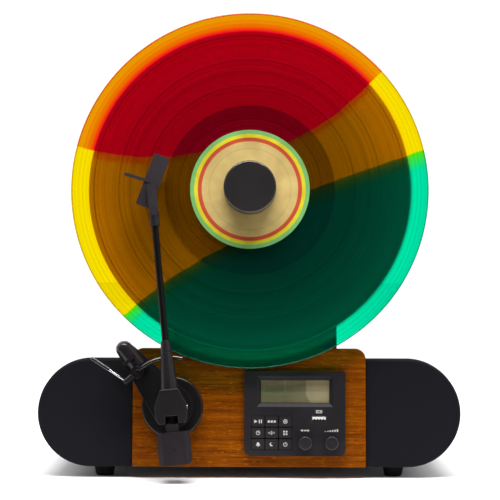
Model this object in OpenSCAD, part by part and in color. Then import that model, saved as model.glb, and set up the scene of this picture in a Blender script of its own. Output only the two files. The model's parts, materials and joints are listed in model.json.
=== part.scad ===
// Vertical record player. A speaker base with rounded ends carries a front panel that leans back,
// and behind it a tower that holds the platter upright. The record is clamped to the platter by a knob.
// The tonearm stands on the left of the panel and the controls are on its right.
// Lengths are in millimetres and angles in degrees. X points right, Z up, and -Y toward the listener.

/* [Base] */
// Width of the speaker base
base_w = 356; // [350:1:370]
// Height of the speaker base
base_h = 90; // [88:0.5:94]
// Depth of the base from the foot of the front panel to the back
base_depth = 205; // [190:5:230]
// Thickness of the wooden cabinet wall
wall = 8; // [7:0.5:9]
// Angle by which the panel, platter and tonearm lean back
lean = 5; // [3:0.5:7]
// Height of the rubber feet
foot_h = 9.5; // [7:0.5:14]
// Radius of a foot where it meets the base
foot_r = 9.2; // [8:0.1:10]
// Distance of the feet from the middle of the base
foot_x = 122.3; // [100:0.1:123]
// Distance of the feet from the front and the back of the base
foot_inset = 10.5; // [10:0.5:34]
// Thickness of the back cover
cover_t = 4; // [3:0.5:5]
// Width of the ledge that the back cover sits against
cover_ledge = 4; // [3:0.5:5]
// Thickness of the board that carries the speakers
baffle_t = 9; // [6:0.5:12]

/* [Front panel and grilles] */
// Width of the wooden front panel
panel_w = 195.5; // [192:0.5:198]
// Height of the front panel along its slope
panel_h = 99.2; // [98.5:0.1:101]
// Thickness of the front panel
panel_t = 12; // [12:0.5:14]
// Radius of the panel's top corners
panel_corner = 9; // [4:0.5:12]
// Thickness of a speaker grille
grille_t = 9; // [8:0.5:10]
// Radius of the grille's front edge
grille_edge = 2.5; // [1:0.25:3]
// Thickness of the grille's cloth-covered front
grille_skin = 1.5; // [1:0.25:2.5]
// Width of the grille's frame
grille_frame = 6.5; // [5:0.5:7.5]
// Gap between the panel and each grille
panel_gap = 0.6; // [0.3:0.1:1.2]
// Radius of a speaker driver's flange
driver_r = 34; // [32:0.5:34.5]

/* [Tower and drive] */
// Height of the spindle above the foot of the panel, along the slope
spindle_u = 232.8; // [232:0.2:236]
// Width of the tower behind the platter
tower_w = 148; // [146:1:156]
// Depth of the tower
tower_depth = 37; // [36:0.5:42]
// Thickness of the tower's walls
tower_wall = 3; // [2.5:0.25:3.5]
// Radius of the spindle's running length
shaft_r = 5; // [4.5:0.25:5.5]
// Radius of the spindle that the record's hole fits over
spindle_r = 3.6; // [3.5:0.01:3.62]
// Radial running clearance of shafts in their bores
run_fit = 0.05; // [0.03:0.01:0.08]
// Radius of the pulley on the spindle
drive_pulley_r = 45; // [42:0.5:48]
// Radius of the pulley on the motor
motor_pulley_r = 5; // [4:0.25:6]
// Distance of the motor below the spindle
motor_drop = 85; // [82:0.5:88]
// Radius of the motor
motor_r = 17.5; // [15:0.5:19]
// Thickness of the drive belt
belt_t = 1.2; // [0.8:0.1:1.6]
// Gap between the belt and the pulleys
belt_gap = 0.3; // [0.25:0.05:0.4]

/* [Platter and record] */
// Distance of the record's back above the panel's face
record_n = 8; // [7.5:0.1:8.5]
// Thickness of the record at its rim and label
record_t = 2; // [1.8:0.05:2.2]
// Radius of the record
record_r = 150.8; // [149:0.1:151]
// Radius of the record's hole
record_hole_r = 3.65; // [3.63:0.01:3.7]
// Radius of the paper label
label_r = 50.4; // [48:0.1:51]
// Thickness of the paper label
label_t = 0.15; // [0.1:0.01:0.2]
// Radius of the platter
platter_r = 136; // [130:0.5:140]
// Thickness of the platter
platter_t = 5; // [4:0.25:5.5]
// Radius of the mat
mat_r = 71.6; // [66:0.1:76]
// Thickness of the mat
mat_t = 1; // [0.8:0.05:1.2]
// Number of radial grooves in the mat
mat_grooves = 8; // [6:1:12]
// Radius of the record clamp
clamp_r = 22; // [20:0.5:24]
// Length of the record clamp
clamp_h = 18; // [16:0.5:20]
// Gap between the clamp and the label
clamp_gap = 0.3; // [0.3:0.05:0.5]

/* [Tonearm] */
// Distance of the tonearm's pivot from the middle of the panel
pivot_x = -64.2; // [-65.5:0.1:-63]
// Height of the tonearm's pivot above the foot of the panel, along the slope
pivot_u = 49.5; // [49:0.1:51]
// Height of the tonearm's axis above the panel's face
arm_n = 30; // [29.5:0.1:31]
// Angle of the tonearm to the slope line, as it plays
arm_angle = 5.5; // [4.5:0.1:6.5]
// Angle of the parked tonearm to the slope line
park_angle = 39.8; // [38:0.2:41]
// Radius of the tonearm's round base
arm_base_r = 25.6; // [24:0.1:28]
// Thickness of the tonearm's round base
arm_base_t = 6; // [5:0.25:6.5]
// Thickness of the bracket on the round base
bracket_t = 3.5; // [3:0.25:4]
// Distance of the bracket's round end from the pivot
bracket_reach = 63.1; // [61:0.1:66]
// Radius of the bracket's end
bracket_end_r = 7; // [6.5:0.25:7.5]
// Width of the pivot housing
housing_w = 26; // [25:0.25:28]
// Distance of the lift axis behind the pivot
tilt_back = 0.8; // [0.5:0.1:1.2]
// Radius of the tonearm tube
tube_r = 2.8; // [2.5:0.05:3]
// Distance from the pivot to the end of the tube
tube_end = 150.5; // [145:0.5:153]
// Radius of the tapered sleeve at the housing
sleeve_r = 7.3; // [7:0.1:7.5]
// Length of the sleeve's wide part
sleeve_len = 30.5; // [29:0.5:32]
// Length of the sleeve's narrow part
sleeve_tip = 9.6; // [8:0.1:11]
// Radius of the collar that holds the headshell
collar_r = 4.15; // [3.9:0.05:4.5]
// Length of the collar
collar_len = 10.8; // [9:0.1:12]
// Width of the headshell
shell_w = 13.3; // [12.5:0.1:15]
// Length of the headshell
shell_len = 44.9; // [42:0.1:47]
// Angle of the headshell to the tube
shell_angle = 25.6; // [22:0.1:28]
// Width of the counterweight
weight_w = 26.8; // [26:0.1:30]
// Length of the counterweight
weight_len = 27; // [25:0.5:28]
// Depth of the counterweight
weight_depth = 25; // [22:0.5:26]

/* [Arm lift] */
// Radius of the curved lift bar about the pivot
lift_r = 41; // [40.5:0.1:41.5]
// Height of the lift bar's front above the panel's face, lowered
lift_n = 23.2; // [22.9:0.1:23.4]
// Width of the lift bar
lift_w = 3.2; // [2.8:0.1:3.4]
// Angle of the lift post about the pivot
lift_angle = 45; // [44:0.5:46]
// Radius of the lift's housing
lift_house_r = 5.2; // [5:0.1:5.6]
// Angle of the lift shaft to the slope line
lift_shaft_angle = 129; // [127:0.5:131]
// Length of the lift shaft from the middle of its housing
lift_shaft_len = 11.9; // [11:0.1:13]
// Angle of the cue lever to the slope line
lever_angle = 57; // [55:0.2:59]
// Length of the lever's bare part
lever_len = 17.2; // [16:0.1:18]
// Length of the lever's grip
grip_len = 18.4; // [16:0.2:20]

/* [Controls] */
// Left edge of the control fascia from the middle of the panel
fascia_x = -4.1; // [-5:0.1:-3]
// Lower edge of the fascia above the foot of the panel
fascia_u = 9.2; // [8.5:0.1:10]
// Width of the fascia
fascia_w = 84.7; // [84:0.1:87]
// Height of the fascia
fascia_h = 70.8; // [70.2:0.1:72]
// Thickness of the fascia
fascia_t = 3.5; // [3:0.1:4]
// Left edge of the display window from the fascia's left edge
window_x = 10.5; // [10:0.1:11]
// Lower edge of the display window above the fascia's lower edge
window_u = 41; // [40.5:0.1:42]
// Width of the display window
window_w = 64.2; // [62:0.1:64.6]
// Height of the display window
window_h = 25.6; // [24:0.1:26]
// Width of the slope round the display
window_bevel = 3; // [2:0.1:3.5]
// Left edge of the keypad from the fascia's left edge
keys_x = 5.9; // [5.5:0.1:7]
// Lower edge of the keypad above the fascia's lower edge
keys_u = 5; // [4.6:0.1:6]
// Distance between neighbouring keys, across
key_pitch_x = 11.4; // [11:0.1:11.8]
// Distance between neighbouring keys, up
key_pitch_u = 9.5; // [9.2:0.05:9.7]
// Gap around the keys
key_gap = 0.8; // [0.6:0.05:1]
// Travel of a key
key_travel = 0.8; // [0.5:0.05:1]
// Radius of the two control knobs
knob_r = 5.8; // [5.2:0.1:6.5]
// Height of the knobs above the fascia
knob_h = 9.9; // [8:0.1:12]
// Height of the knobs' centres above the fascia's lower edge
knob_u = 10.9; // [10.2:0.1:11.4]
// Distance of the tuning knob from the fascia's left edge
tune_x = 50.9; // [50:0.1:52]
// Distance of the volume knob from the fascia's left edge
volume_x = 72.9; // [71.5:0.1:74]
// Distance of the USB socket's middle from the fascia's left edge
usb_x = 62.6; // [61:0.1:64]
// Height of the USB socket's middle above the fascia's lower edge
usb_u = 31.1; // [29.5:0.1:32]

/* [Hidden] */
$fn = 64;

// Names of the separate pieces

// How far the rear sockets stand out of the back cover
jack_out = 9;
// How far the counterweight reaches ahead of the panel, which sets the part's middle
reach = (arm_n + weight_depth / 2) * cos(lean);
front_y = (reach - base_depth - jack_out) / 2;
back_y = front_y + base_depth;
base_top = foot_h + base_h;
base_mid = foot_h + base_h / 2;
// Height of the base's front along the slope, and the middle of each round end
front_h = base_h / cos(lean);
end_x = (base_w - front_h) / 2;
// Screws that hold the covers
screw_r = 1.5;
screw_len = 12;
head_r = 3;
head_h = 1.6;
recess_len = 3.6;
recess_w = 0.8;
// Clearance round a piece that is seated and screwed down
seat_fit = 0.1;
bearing_r = 11;
lever_r = 1;
main_board_size = [108, 52, 1.6];
post_r = 5;
// Hole for the tower's wires in the top of the base, behind the foot of the panel
wire_hole_y = 39;
wire_hole_r = 10;
// Places of the screws in the back cover, from its middle
cover_posts = [for (x = [-110, 0, 110], z = [-1, 1]) [x, z * (base_h / 2 - wall - 4)]];
// Inner faces of the tower
tower_front = -panel_t - tower_wall;
tower_back = -panel_t - tower_depth;
tower_posts = [[-62, 116], [62, 116], [-62, spindle_u - 34], [62, spindle_u - 34], [0, spindle_u + 62]];
tower_foot_x = tower_w / 2 - tower_wall - 3;
// Rows of the tower's screws, behind the front of the base: the first clears the baffle board
tower_row = (panel_t + baffle_t) / cos(lean) + base_h * tan(lean) + head_r + 1;
tower_row_back = panel_t + tower_depth - tower_wall - 6 + base_h * tan(lean);
tower_feet = [for (x = [-tower_foot_x, tower_foot_x], y = [tower_row, tower_row_back]) [x, y]];
tower_post_r = 4;
motor_u = spindle_u - motor_drop;
motor_len = 18;
motor_shaft_r = 1;
// Depth of the ring that the motor is seated in
motor_seat = 12;
bearing_len = 13;
pulley_n = tower_back + 10.5;
pulley_w = 6;
belt_w = 3.6;
// Length of the spindle that stands in the clamp
spindle_end = 12;
// The platter's front, just behind the mat and the record
platter_n = record_n - mat_t;
record_front = record_n + record_t;
clamp_n = record_front + label_t + clamp_gap;
// Pointed screws that the tonearm tilts on
screw_tip_r = 1;
tilt_screw_r = 1.6;
// Post that the tonearm swings on
swing_post_r = 4;
// Top of the tonearm's bracket
bracket_n = arm_base_t + bracket_t;
// Ends of the tonearm's pieces along it, from the pivot
housing_front = 14.9;
housing_back = 7.2;
housing_end = 13.5;
housing_drop = 12;
housing_h = 23;
housing_bevel = 2.5;
sleeve_mid_r = 4.75;
weight_start = 20.2;
// Width of the tongue between the counterweight and the housing
weight_neck = 10.4;
stem_r = 4.95;
// Front of the headshell from the pivot: across and along the tube
shell_x = 11;
shell_y = tube_end + collar_len + 47.1;
// Root of the finger lift along the tube, from the pivot
finger_y = shell_y - shell_len / 2;
shell_t = 3.5;
shell_n = arm_n - shell_t;
cartridge_h = 13;
// Lift shaft
lift_shaft_n = bracket_n + 3;
lift_shaft_r = 1.8;
lift_post_r = 2.5;
lift_bar_t = 3;
lever_hub_r = lift_shaft_r + 0.6;
// How far the lift shaft reaches past its housing on the side away from the lever
lift_shaft_tail = 11.5;
// Circuit board behind the controls
board_n = -9.6;
board_t = 1.6;
fascia_lip = 3.6;
// Front of the display's glass above the panel's face, and its thickness
glass_n = 1;
glass_t = 1.3;
knob_shaft_r = 3;
// USB socket: its shell's outer size, skin and the gap round it
usb_w = 13.1;
usb_h = 5.7;
usb_skin = 0.3;
usb_gap = 0.25;
switch_h = 3.6;
keypad_w = 3 * key_pitch_x;
keypad_h = 3 * key_pitch_u;

// Places the panel's own frame: x to the right, y up the slope, z out toward the listener.
module on_deck() {
    translate([0, front_y, foot_h])
        rotate([90 - lean, 0, 0])
            children();
}

module at_spindle() {
    on_deck()
        translate([0, spindle_u, 0])
            children();
}

module at_pivot() {
    on_deck()
        translate([pivot_x, pivot_u, 0])
            children();
}

module at_arm() {
    at_pivot()
        rotate([0, 0, arm_angle])
            children();
}

module at_fascia() {
    on_deck()
        translate([fascia_x, fascia_u, 0])
            children();
}

// Turns what stands on the deck so that it lies along the tonearm.
module along_arm(distance) {
    at_arm()
        translate([0, distance, arm_n])
            rotate([-90, 0, 0])
                children();
}

// Everything ahead of a plane at this height above the panel's face
module ahead_of(n) {
    on_deck()
        translate([-base_w, -base_h, n])
            cube([2 * base_w, 3 * base_h, 2 * base_h]);
}

module below_base_top() {
    translate([-base_w, front_y - base_depth, -base_h])
        cube([2 * base_w, 3 * base_depth, base_top + base_h]);
}

// Flat shape with straight sides and round ends
module stadium(w, h) {
    square([w - h, h], center = true);
    for (side = [-1, 1])
        translate([side * (w - h) / 2, 0])
            circle(d = h);
}

// Rectangle from the origin, with its own radius at the lower and at the upper corners
module rounded(w, h, low, high) {
    translate([0, low])
        square([w, h - low - high]);
    translate([low, 0])
        square([w - 2 * low, low]);
    translate([high, h - high])
        square([w - 2 * high, high]);
    for (x = [low, w - low])
        translate([x, low])
            circle(r = low);
    for (x = [high, w - high])
        translate([x, h - high])
            circle(r = high);
}

// Round at both ends and straight between: big end at the origin, small end up the Y axis.
// The straight sides stand a hair inside the two circles, so that they cross them cleanly.
module taper_link(big, small, distance) {
    hair = 0.06;
    rise = (big - small) / distance;
    flat = sqrt(1 - rise * rise);
    big_side = big - hair;
    small_side = small - hair;
    circle(r = big);
    translate([0, distance])
        circle(r = small);
    polygon([
        [-big_side * flat, big_side * rise],
        [big_side * flat, big_side * rise],
        [small_side * flat, distance + small_side * rise],
        [-small_side * flat, distance + small_side * rise]
    ]);
}

// Cabinet section, drawn along the depth of the base
module cabinet_prism(inset, from_y, to_y) {
    translate([0, to_y, base_mid])
        rotate([90, 0, 0])
            linear_extrude(to_y - from_y)
                stadium(base_w - 2 * inset, base_h - 2 * inset);
}

// Screw along +Z, with a cross recess in its head
module screw() {
    difference() {
        union() {
            translate([0, 0, -head_h])
                cylinder(r = head_r, h = head_h);
            cylinder(r = screw_r, h = screw_len);
        }
        for (turn = [0, 90])
            rotate([0, 0, turn])
                translate([-recess_len / 2, -recess_w / 2, -head_h - 1])
                    cube([recess_len, recess_w, 2]);
    }
}

module screw_hole() {
    translate([0, 0, -1])
        cylinder(r = screw_r + run_fit, h = screw_len + 2);
}

module at_cover_screws() {
    for (p = cover_posts)
        translate([p[0], back_y, base_mid + p[1]])
            rotate([90, 0, 0])
                children();
}

module at_tower_screws() {
    for (p = tower_posts)
        on_deck()
            translate([p[0], p[1], tower_back])
                children();
}

module at_tower_feet() {
    for (p = tower_feet)
        translate([p[0], front_y + p[1], base_top - wall])
            children();
}

module cabinet_shell() {
    color([0.05, 0.045, 0.045])
        difference() {
            union() {
                difference() {
                    cabinet_prism(0, front_y, back_y);
                    cabinet_prism(wall, front_y - 1, back_y + 1);
                }
                at_cover_screws()
                    translate([0, 0, cover_t])
                        cylinder(r = post_r, h = screw_len + 2);
            }
            ahead_of(-panel_t);
            cabinet_prism(wall - cover_ledge, back_y - cover_t, back_y + 1);
            at_cover_screws()
                screw_hole();
            at_tower_feet()
                screw_hole();
            translate([0, front_y + wire_hole_y, base_mid])
                cylinder(r = wire_hole_r, h = base_h);
        }
}

module baffle_board() {
    reach_back = 60;
    flange_seat = 4;
    opening_x = 14;
    opening_u = 16;
    color([0.12, 0.11, 0.10])
        difference() {
            cabinet_prism(wall, front_y, front_y + reach_back);
            ahead_of(-panel_t);
            on_deck()
                translate([-base_w, -base_h, -panel_t - baffle_t - 2 * base_h])
                    cube([2 * base_w, 3 * base_h, 2 * base_h]);
            for (side = [-1, 1])
                on_deck()
                    translate([side * end_x, front_h / 2, -panel_t - baffle_t - 1])
                        cylinder(r = driver_r - flange_seat, h = baffle_t + 2);
            at_fascia()
                translate([opening_x, opening_u, -panel_t - baffle_t - 1])
                    cube([fascia_w - 2 * opening_x, fascia_h - 2 * opening_u, baffle_t + 2]);
        }
}

module front_panel() {
    low_corner = 1.5;
    color([0.55, 0.28, 0.09])
        difference() {
            on_deck()
                translate([-panel_w / 2, 0, -panel_t])
                    linear_extrude(panel_t)
                        rounded(panel_w, panel_h, low_corner, panel_corner);
            at_fascia()
                translate([fascia_lip, fascia_lip, -panel_t - 1])
                    cube([fascia_w - 2 * fascia_lip, fascia_h - 2 * fascia_lip, panel_t + 2]);
        }
}

// Half of the grille's section: half height across, thickness up, with a rounded front edge
module grille_section() {
    half = front_h / 2;
    square([half, grille_t - grille_edge]);
    square([half - grille_edge, grille_t]);
    translate([half - grille_edge, grille_t - grille_edge])
        circle(r = grille_edge);
}

module grille_body() {
    straight = end_x - panel_w / 2 - panel_gap;
    intersection() {
        rotate_extrude()
            intersection() {
                grille_section();
                square([front_h, grille_t]);
            }
        translate([0, -front_h, 0])
            cube([front_h, 2 * front_h, grille_t]);
    }
    for (flip = [0, 1])
        mirror([0, flip, 0])
            rotate([90, 0, -90])
                linear_extrude(straight)
                    intersection() {
                        mirror([1, 0])
                            grille_section();
                        translate([-front_h, 0])
                            square([front_h, grille_t]);
                    }
}

module grille_hollow() {
    half = front_h / 2 - grille_frame;
    straight = end_x - panel_w / 2 - panel_gap - grille_frame;
    linear_extrude(grille_t - grille_skin) {
        circle(r = half);
        translate([-straight, -half])
            square([straight, 2 * half]);
    }
}

// Right-hand grille, with its origin at the middle of the round end
module grille() {
    difference() {
        grille_body();
        translate([0, 0, -0.01])
            grille_hollow();
    }
}

module left_grille() {
    color([0.10, 0.10, 0.12])
        on_deck()
            translate([-end_x, front_h / 2, -panel_t])
                mirror([1, 0, 0])
                    grille();
}

module right_grille() {
    color([0.10, 0.10, 0.12])
        on_deck()
            translate([end_x, front_h / 2, -panel_t])
                grille();
}

// Speaker driver: cone and surround in front, basket and magnet behind
module driver() {
    dust_cap_r = 9;
    cone_r = driver_r - 8;
    rim_r = driver_r - 3.6;
    flange_t = 2.4;
    basket_r = 20;
    magnet_r = 24;
    magnet_front = -20;
    magnet_back = -32;
    rotate_extrude()
        polygon([
            [0, -6], [dust_cap_r, -9], [cone_r, -0.5], [cone_r + 1.5, 1.6], [rim_r - 0.6, 1],
            [rim_r, flange_t], [driver_r, flange_t], [driver_r, 0], [rim_r - 0.9, 0], [rim_r - 2.4, -6],
            [basket_r, magnet_front], [magnet_r, magnet_front], [magnet_r, magnet_back], [0, magnet_back]
        ]);
}

module left_driver() {
    color([0.15, 0.15, 0.16])
        on_deck()
            translate([-end_x, front_h / 2, -panel_t])
                driver();
}

module right_driver() {
    color([0.15, 0.15, 0.16])
        on_deck()
            translate([end_x, front_h / 2, -panel_t])
                driver();
}

module at_feet() {
    for (x = [-foot_x, foot_x], y = [front_y + panel_t + foot_inset, back_y - foot_inset])
        translate([x, y, 0])
            children();
}

// Tapered rubber feet with a chamfered rim
module feet() {
    taper = 1.7;
    chamfer = 0.8;
    low_r = foot_r - taper;
    color([0.05, 0.05, 0.05])
        at_feet()
            rotate_extrude()
                polygon([[0, 0], [low_r - chamfer, 0], [low_r, chamfer], [foot_r, foot_h], [0, foot_h]]);
}

// Boards and sockets at the back, from the middle of the back cover's inner face
module at_cover_inside() {
    translate([0, back_y - cover_t, base_mid])
        rotate([90, 0, 0])
            children();
}

board_gap = 10;
board_post_r = 3;
rear_posts = [for (x = [-48, 48], y = [-20, 20]) [x, y]];
rca_places = [-34, -20];
dc_x = 30;
aux_x = 4;
jack_y = -12;
// Radii of the line sockets' barrels, of the round sockets' seats and of the headphone socket
rca_r = 4.15;
seat_r = 4.8;
aux_r = 3.4;
seat_gap = 0.2;
jack_body = 12;

module back_cover() {
    color([0.08, 0.08, 0.08])
        difference() {
            union() {
                cabinet_prism(wall - cover_ledge, back_y - cover_t, back_y);
                at_cover_inside()
                    for (p = rear_posts)
                        translate([p[0], p[1], 0])
                            cylinder(r = board_post_r, h = board_gap);
            }
            at_cover_screws()
                screw_hole();
            at_cover_inside() {
                for (x = rca_places)
                    translate([x, jack_y, -cover_t - 1])
                        cylinder(r = seat_r + seat_gap, h = cover_t + 2);
                translate([aux_x, jack_y, -cover_t - 1])
                    cylinder(r = aux_r + seat_gap, h = cover_t + 2);
                translate([dc_x, jack_y, -cover_t - 1])
                    cylinder(r = seat_r + seat_gap, h = cover_t + 2);
            }
        }
}

module main_board() {
    top = board_gap + main_board_size[2];
    heat_sink = [34, 14, 16];
    heat_sink_x = -40;
    heat_sink_y = 4;
    // Place, radius and height of each capacitor
    capacitors = [[14, 10, 8, 18], [34, 8, 5, 14]];
    color([0.05, 0.25, 0.12])
        at_cover_inside() {
            translate([-main_board_size[0] / 2, -main_board_size[1] / 2, board_gap])
                cube(main_board_size);
            translate([heat_sink_x, heat_sink_y, top])
                cube(heat_sink);
            for (c = capacitors)
                translate([c[0], c[1], top])
                    cylinder(r = c[2], h = c[3]);
        }
}

// Round line sockets, headphone socket and power inlet, all seated on the board
module rear_jacks() {
    color([0.7, 0.7, 0.7])
        at_cover_inside() {
            translate([rca_places[0] - 7, jack_y - jack_body / 2, 1])
                cube([rca_places[1] - rca_places[0] + 14, jack_body, board_gap - 1]);
            for (x = rca_places)
                translate([x, jack_y, -cover_t])
                    difference() {
                        union() {
                            translate([0, 0, -jack_out])
                                cylinder(r = rca_r, h = jack_out + 1);
                            cylinder(r = seat_r, h = cover_t + 2);
                        }
                        translate([0, 0, -jack_out - 1])
                            cylinder(r = 1.6, h = 9);
                    }
            difference() {
                translate([aux_x, jack_y, 0]) {
                    translate([-jack_body / 2, -jack_body / 2, 1])
                        cube([jack_body, jack_body, board_gap - 1]);
                    translate([0, 0, -cover_t])
                        cylinder(r = aux_r, h = cover_t + 1);
                }
                translate([aux_x, jack_y, -cover_t - 1])
                    cylinder(r = 1.8, h = 12);
            }
            difference() {
                translate([dc_x, jack_y, 0]) {
                    translate([-jack_body / 2, -jack_body / 2, 1])
                        cube([jack_body, jack_body, board_gap - 1]);
                    translate([0, 0, -cover_t])
                        cylinder(r = seat_r, h = cover_t + 1);
                }
                translate([dc_x, jack_y, -cover_t - 1])
                    cylinder(r = 2.8, h = 10);
            }
            translate([dc_x, jack_y, -cover_t + 0.5])
                cylinder(r = 1.05, h = cover_t + 5);
        }
}

module case_screws() {
    color([0.3, 0.3, 0.32]) {
        at_cover_screws()
            screw();
        at_tower_screws()
            screw();
        at_tower_feet()
            screw();
    }
}

// Tower outline: straight sides, and round about the spindle at the top
module tower_outline(inset) {
    half = tower_w / 2 - inset;
    translate([0, spindle_u])
        circle(r = half);
    translate([-half, 0])
        square([2 * half, spindle_u]);
}

module tower_shell() {
    color([0.06, 0.06, 0.06])
        difference() {
            union() {
                difference() {
                    on_deck()
                        translate([0, 0, tower_back])
                            linear_extrude(tower_depth)
                                tower_outline(0);
                    on_deck()
                        translate([0, 0, tower_back - 1])
                            linear_extrude(tower_depth - tower_wall + 1)
                                tower_outline(tower_wall);
                }
                for (p = tower_posts)
                    on_deck()
                        translate([p[0], p[1], tower_back + tower_wall])
                            cylinder(r = tower_post_r, h = tower_depth - 1.5 * tower_wall);
                at_tower_feet()
                    translate([0, 0, wall])
                        cylinder(r = tower_post_r, h = screw_len);
                on_deck()
                    translate([0, motor_u, tower_front - motor_seat])
                        cylinder(r = motor_r + 3, h = motor_seat + tower_wall / 2);
            }
            below_base_top();
            on_deck()
                translate([0, motor_u, tower_front - motor_seat - 1])
                    cylinder(r = motor_r + seat_fit, h = motor_seat + 1);
            at_spindle()
                translate([0, 0, tower_front - 1])
                    cylinder(r = bearing_r + seat_fit, h = tower_wall + 2);
            at_tower_screws()
                screw_hole();
            at_tower_feet()
                screw_hole();
        }
}

module tower_cover() {
    color([0.07, 0.07, 0.07])
        difference() {
            on_deck()
                translate([0, 0, tower_back])
                    linear_extrude(tower_wall)
                        tower_outline(tower_wall + seat_fit);
            below_base_top();
            at_tower_screws()
                screw_hole();
        }
}

// Flanged sleeve that the spindle runs in
module bearing_housing() {
    flange_r = 18;
    flange_t = 3;
    color([0.6, 0.5, 0.25])
        at_spindle()
            difference() {
                union() {
                    translate([0, 0, tower_front - flange_t])
                        cylinder(r = flange_r, h = flange_t);
                    translate([0, 0, tower_front - bearing_len])
                        cylinder(r = bearing_r, h = bearing_len + tower_wall + 2);
                }
                translate([0, 0, tower_front - bearing_len - 1])
                    cylinder(r = shaft_r + run_fit, h = 2 * bearing_len + tower_wall);
            }
}

module drive_motor() {
    color([0.55, 0.55, 0.57])
        on_deck()
            translate([0, motor_u, tower_front - motor_len])
                difference() {
                    union() {
                        cylinder(r = motor_r, h = motor_len);
                        translate([0, 0, -1])
                            cylinder(r = 4, h = 2);
                    }
                    translate([0, 0, -2])
                        cylinder(r = motor_shaft_r + run_fit, h = motor_len - 6);
                }
}

// Motor pulley with the motor shaft that it is pressed on
module motor_pulley() {
    color([0.75, 0.65, 0.35])
        on_deck()
            translate([0, motor_u, 0]) {
                translate([0, 0, pulley_n - pulley_w / 2])
                    cylinder(r = motor_pulley_r, h = pulley_w);
                translate([0, 0, pulley_n])
                    cylinder(r = motor_shaft_r, h = tower_front - 10 - pulley_n);
            }
}

module drive_belt() {
    color([0.04, 0.04, 0.04])
        at_spindle()
            rotate([0, 0, 180])
                translate([0, 0, pulley_n - belt_w / 2])
                    linear_extrude(belt_w)
                        difference() {
                            taper_link(drive_pulley_r + belt_gap + belt_t, motor_pulley_r + belt_gap + belt_t,
                                motor_drop);
                            taper_link(drive_pulley_r + belt_gap, motor_pulley_r + belt_gap, motor_drop);
                        }
}

module drive_pulley() {
    hub_r = 10;
    hub_h = 3;
    color([0.12, 0.12, 0.13])
        at_spindle()
            difference() {
                union() {
                    translate([0, 0, pulley_n - pulley_w / 2])
                        cylinder(r = drive_pulley_r, h = pulley_w);
                    translate([0, 0, pulley_n - pulley_w / 2])
                        cylinder(r = hub_r, h = pulley_w + hub_h);
                }
                translate([0, 0, pulley_n - pulley_w])
                    cylinder(r = shaft_r, h = 2 * pulley_w + hub_h);
            }
}

module spindle() {
    tip = 1.4;
    color([0.75, 0.75, 0.77])
        at_spindle()
            union() {
                translate([0, 0, pulley_n - pulley_w / 2 - 2])
                    cylinder(r = shaft_r, h = platter_n - pulley_n + pulley_w / 2 + 2);
                cylinder(r = spindle_r, h = clamp_n + spindle_end);
                translate([0, 0, clamp_n + spindle_end])
                    cylinder(r1 = spindle_r, r2 = spindle_r - tip, h = tip);
            }
}

// Platter with a thick hub behind it
module platter() {
    back = platter_n - platter_t;
    relief = 1.5;
    rim = 6;
    hub_r = 20;
    hub_h = 10;
    color([0.5, 0.5, 0.51])
        at_spindle()
            rotate_extrude()
                polygon([
                    [shaft_r, platter_n], [platter_r - 1, platter_n], [platter_r, platter_n - 1],
                    [platter_r, back], [platter_r - rim, back], [platter_r - rim - 2, back + relief],
                    [hub_r + 10, back + relief], [hub_r + 6, back], [hub_r, back - hub_h],
                    [shaft_r, back - hub_h]
                ]);
}

module platter_mat() {
    groove_w = 1.4;
    groove_start = 24;
    color([0.11, 0.11, 0.11])
        at_spindle()
            translate([0, 0, platter_n])
                difference() {
                    cylinder(r = mat_r, h = mat_t);
                    translate([0, 0, -1])
                        cylinder(r = shaft_r + 3, h = mat_t + 2);
                    for (k = [0 : mat_grooves - 1])
                        rotate([0, 0, (k + 0.5) * 360 / mat_grooves])
                            translate([groove_start, -groove_w / 2, mat_t / 2])
                                cube([mat_r, groove_w, mat_t]);
                }
}

// Record with a thicker rim and middle and a thinner playing surface
module record() {
    dip = 0.2;
    color([0.55, 0.10, 0.05, 0.6])
        at_spindle()
            translate([0, 0, record_n])
                rotate_extrude()
                    polygon([
                        [record_hole_r, 0], [label_r + 3, 0], [label_r + 5, dip], [record_r - 5, dip],
                        [record_r - 3, 0], [record_r - 0.6, 0], [record_r, 0.7], [record_r, record_t - 0.7],
                        [record_r - 0.6, record_t], [record_r - 3, record_t], [record_r - 5, record_t - dip],
                        [label_r + 5, record_t - dip], [label_r + 3, record_t], [record_hole_r, record_t]
                    ]);
}

module record_label() {
    color([0.75, 0.60, 0.25])
        at_spindle()
            translate([0, 0, record_front])
                difference() {
                    cylinder(r = label_r, h = label_t);
                    translate([0, 0, -1])
                        cylinder(r = record_hole_r, h = label_t + 2);
                }
}

// Knob that slides over the spindle's end and holds the record
module record_clamp() {
    bore = spindle_end + 2.5;
    edge = 1.2;
    color([0.04, 0.04, 0.045])
        at_spindle()
            translate([0, 0, clamp_n])
                rotate_extrude()
                    polygon([
                        [spindle_r + run_fit, 0], [clamp_r - 1, 0], [clamp_r, 1], [clamp_r, clamp_h - edge],
                        [clamp_r - edge / 3, clamp_h - edge / 3], [clamp_r - edge, clamp_h], [0, clamp_h],
                        [0, bore], [spindle_r + run_fit, bore]
                    ]);
}

module tonearm_base() {
    color([0.05, 0.05, 0.055])
        at_pivot()
            rotate_extrude()
                polygon([
                    [0, 0], [arm_base_r, 0], [arm_base_r, arm_base_t - 1], [arm_base_r - 1, arm_base_t],
                    [swing_post_r + run_fit, arm_base_t], [swing_post_r + run_fit, 1.5], [0, 1.5]
                ]);
}

// Flat bracket from the pivot out to the arm rest
module arm_bracket() {
    root_r = 17.5;
    color([0.06, 0.06, 0.065])
        at_pivot()
            rotate([0, 0, park_angle])
                translate([0, 0, arm_base_t])
                    linear_extrude(bracket_t)
                        difference() {
                            taper_link(root_r, bracket_end_r, bracket_reach);
                            circle(r = swing_post_r + run_fit);
                        }
}

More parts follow.
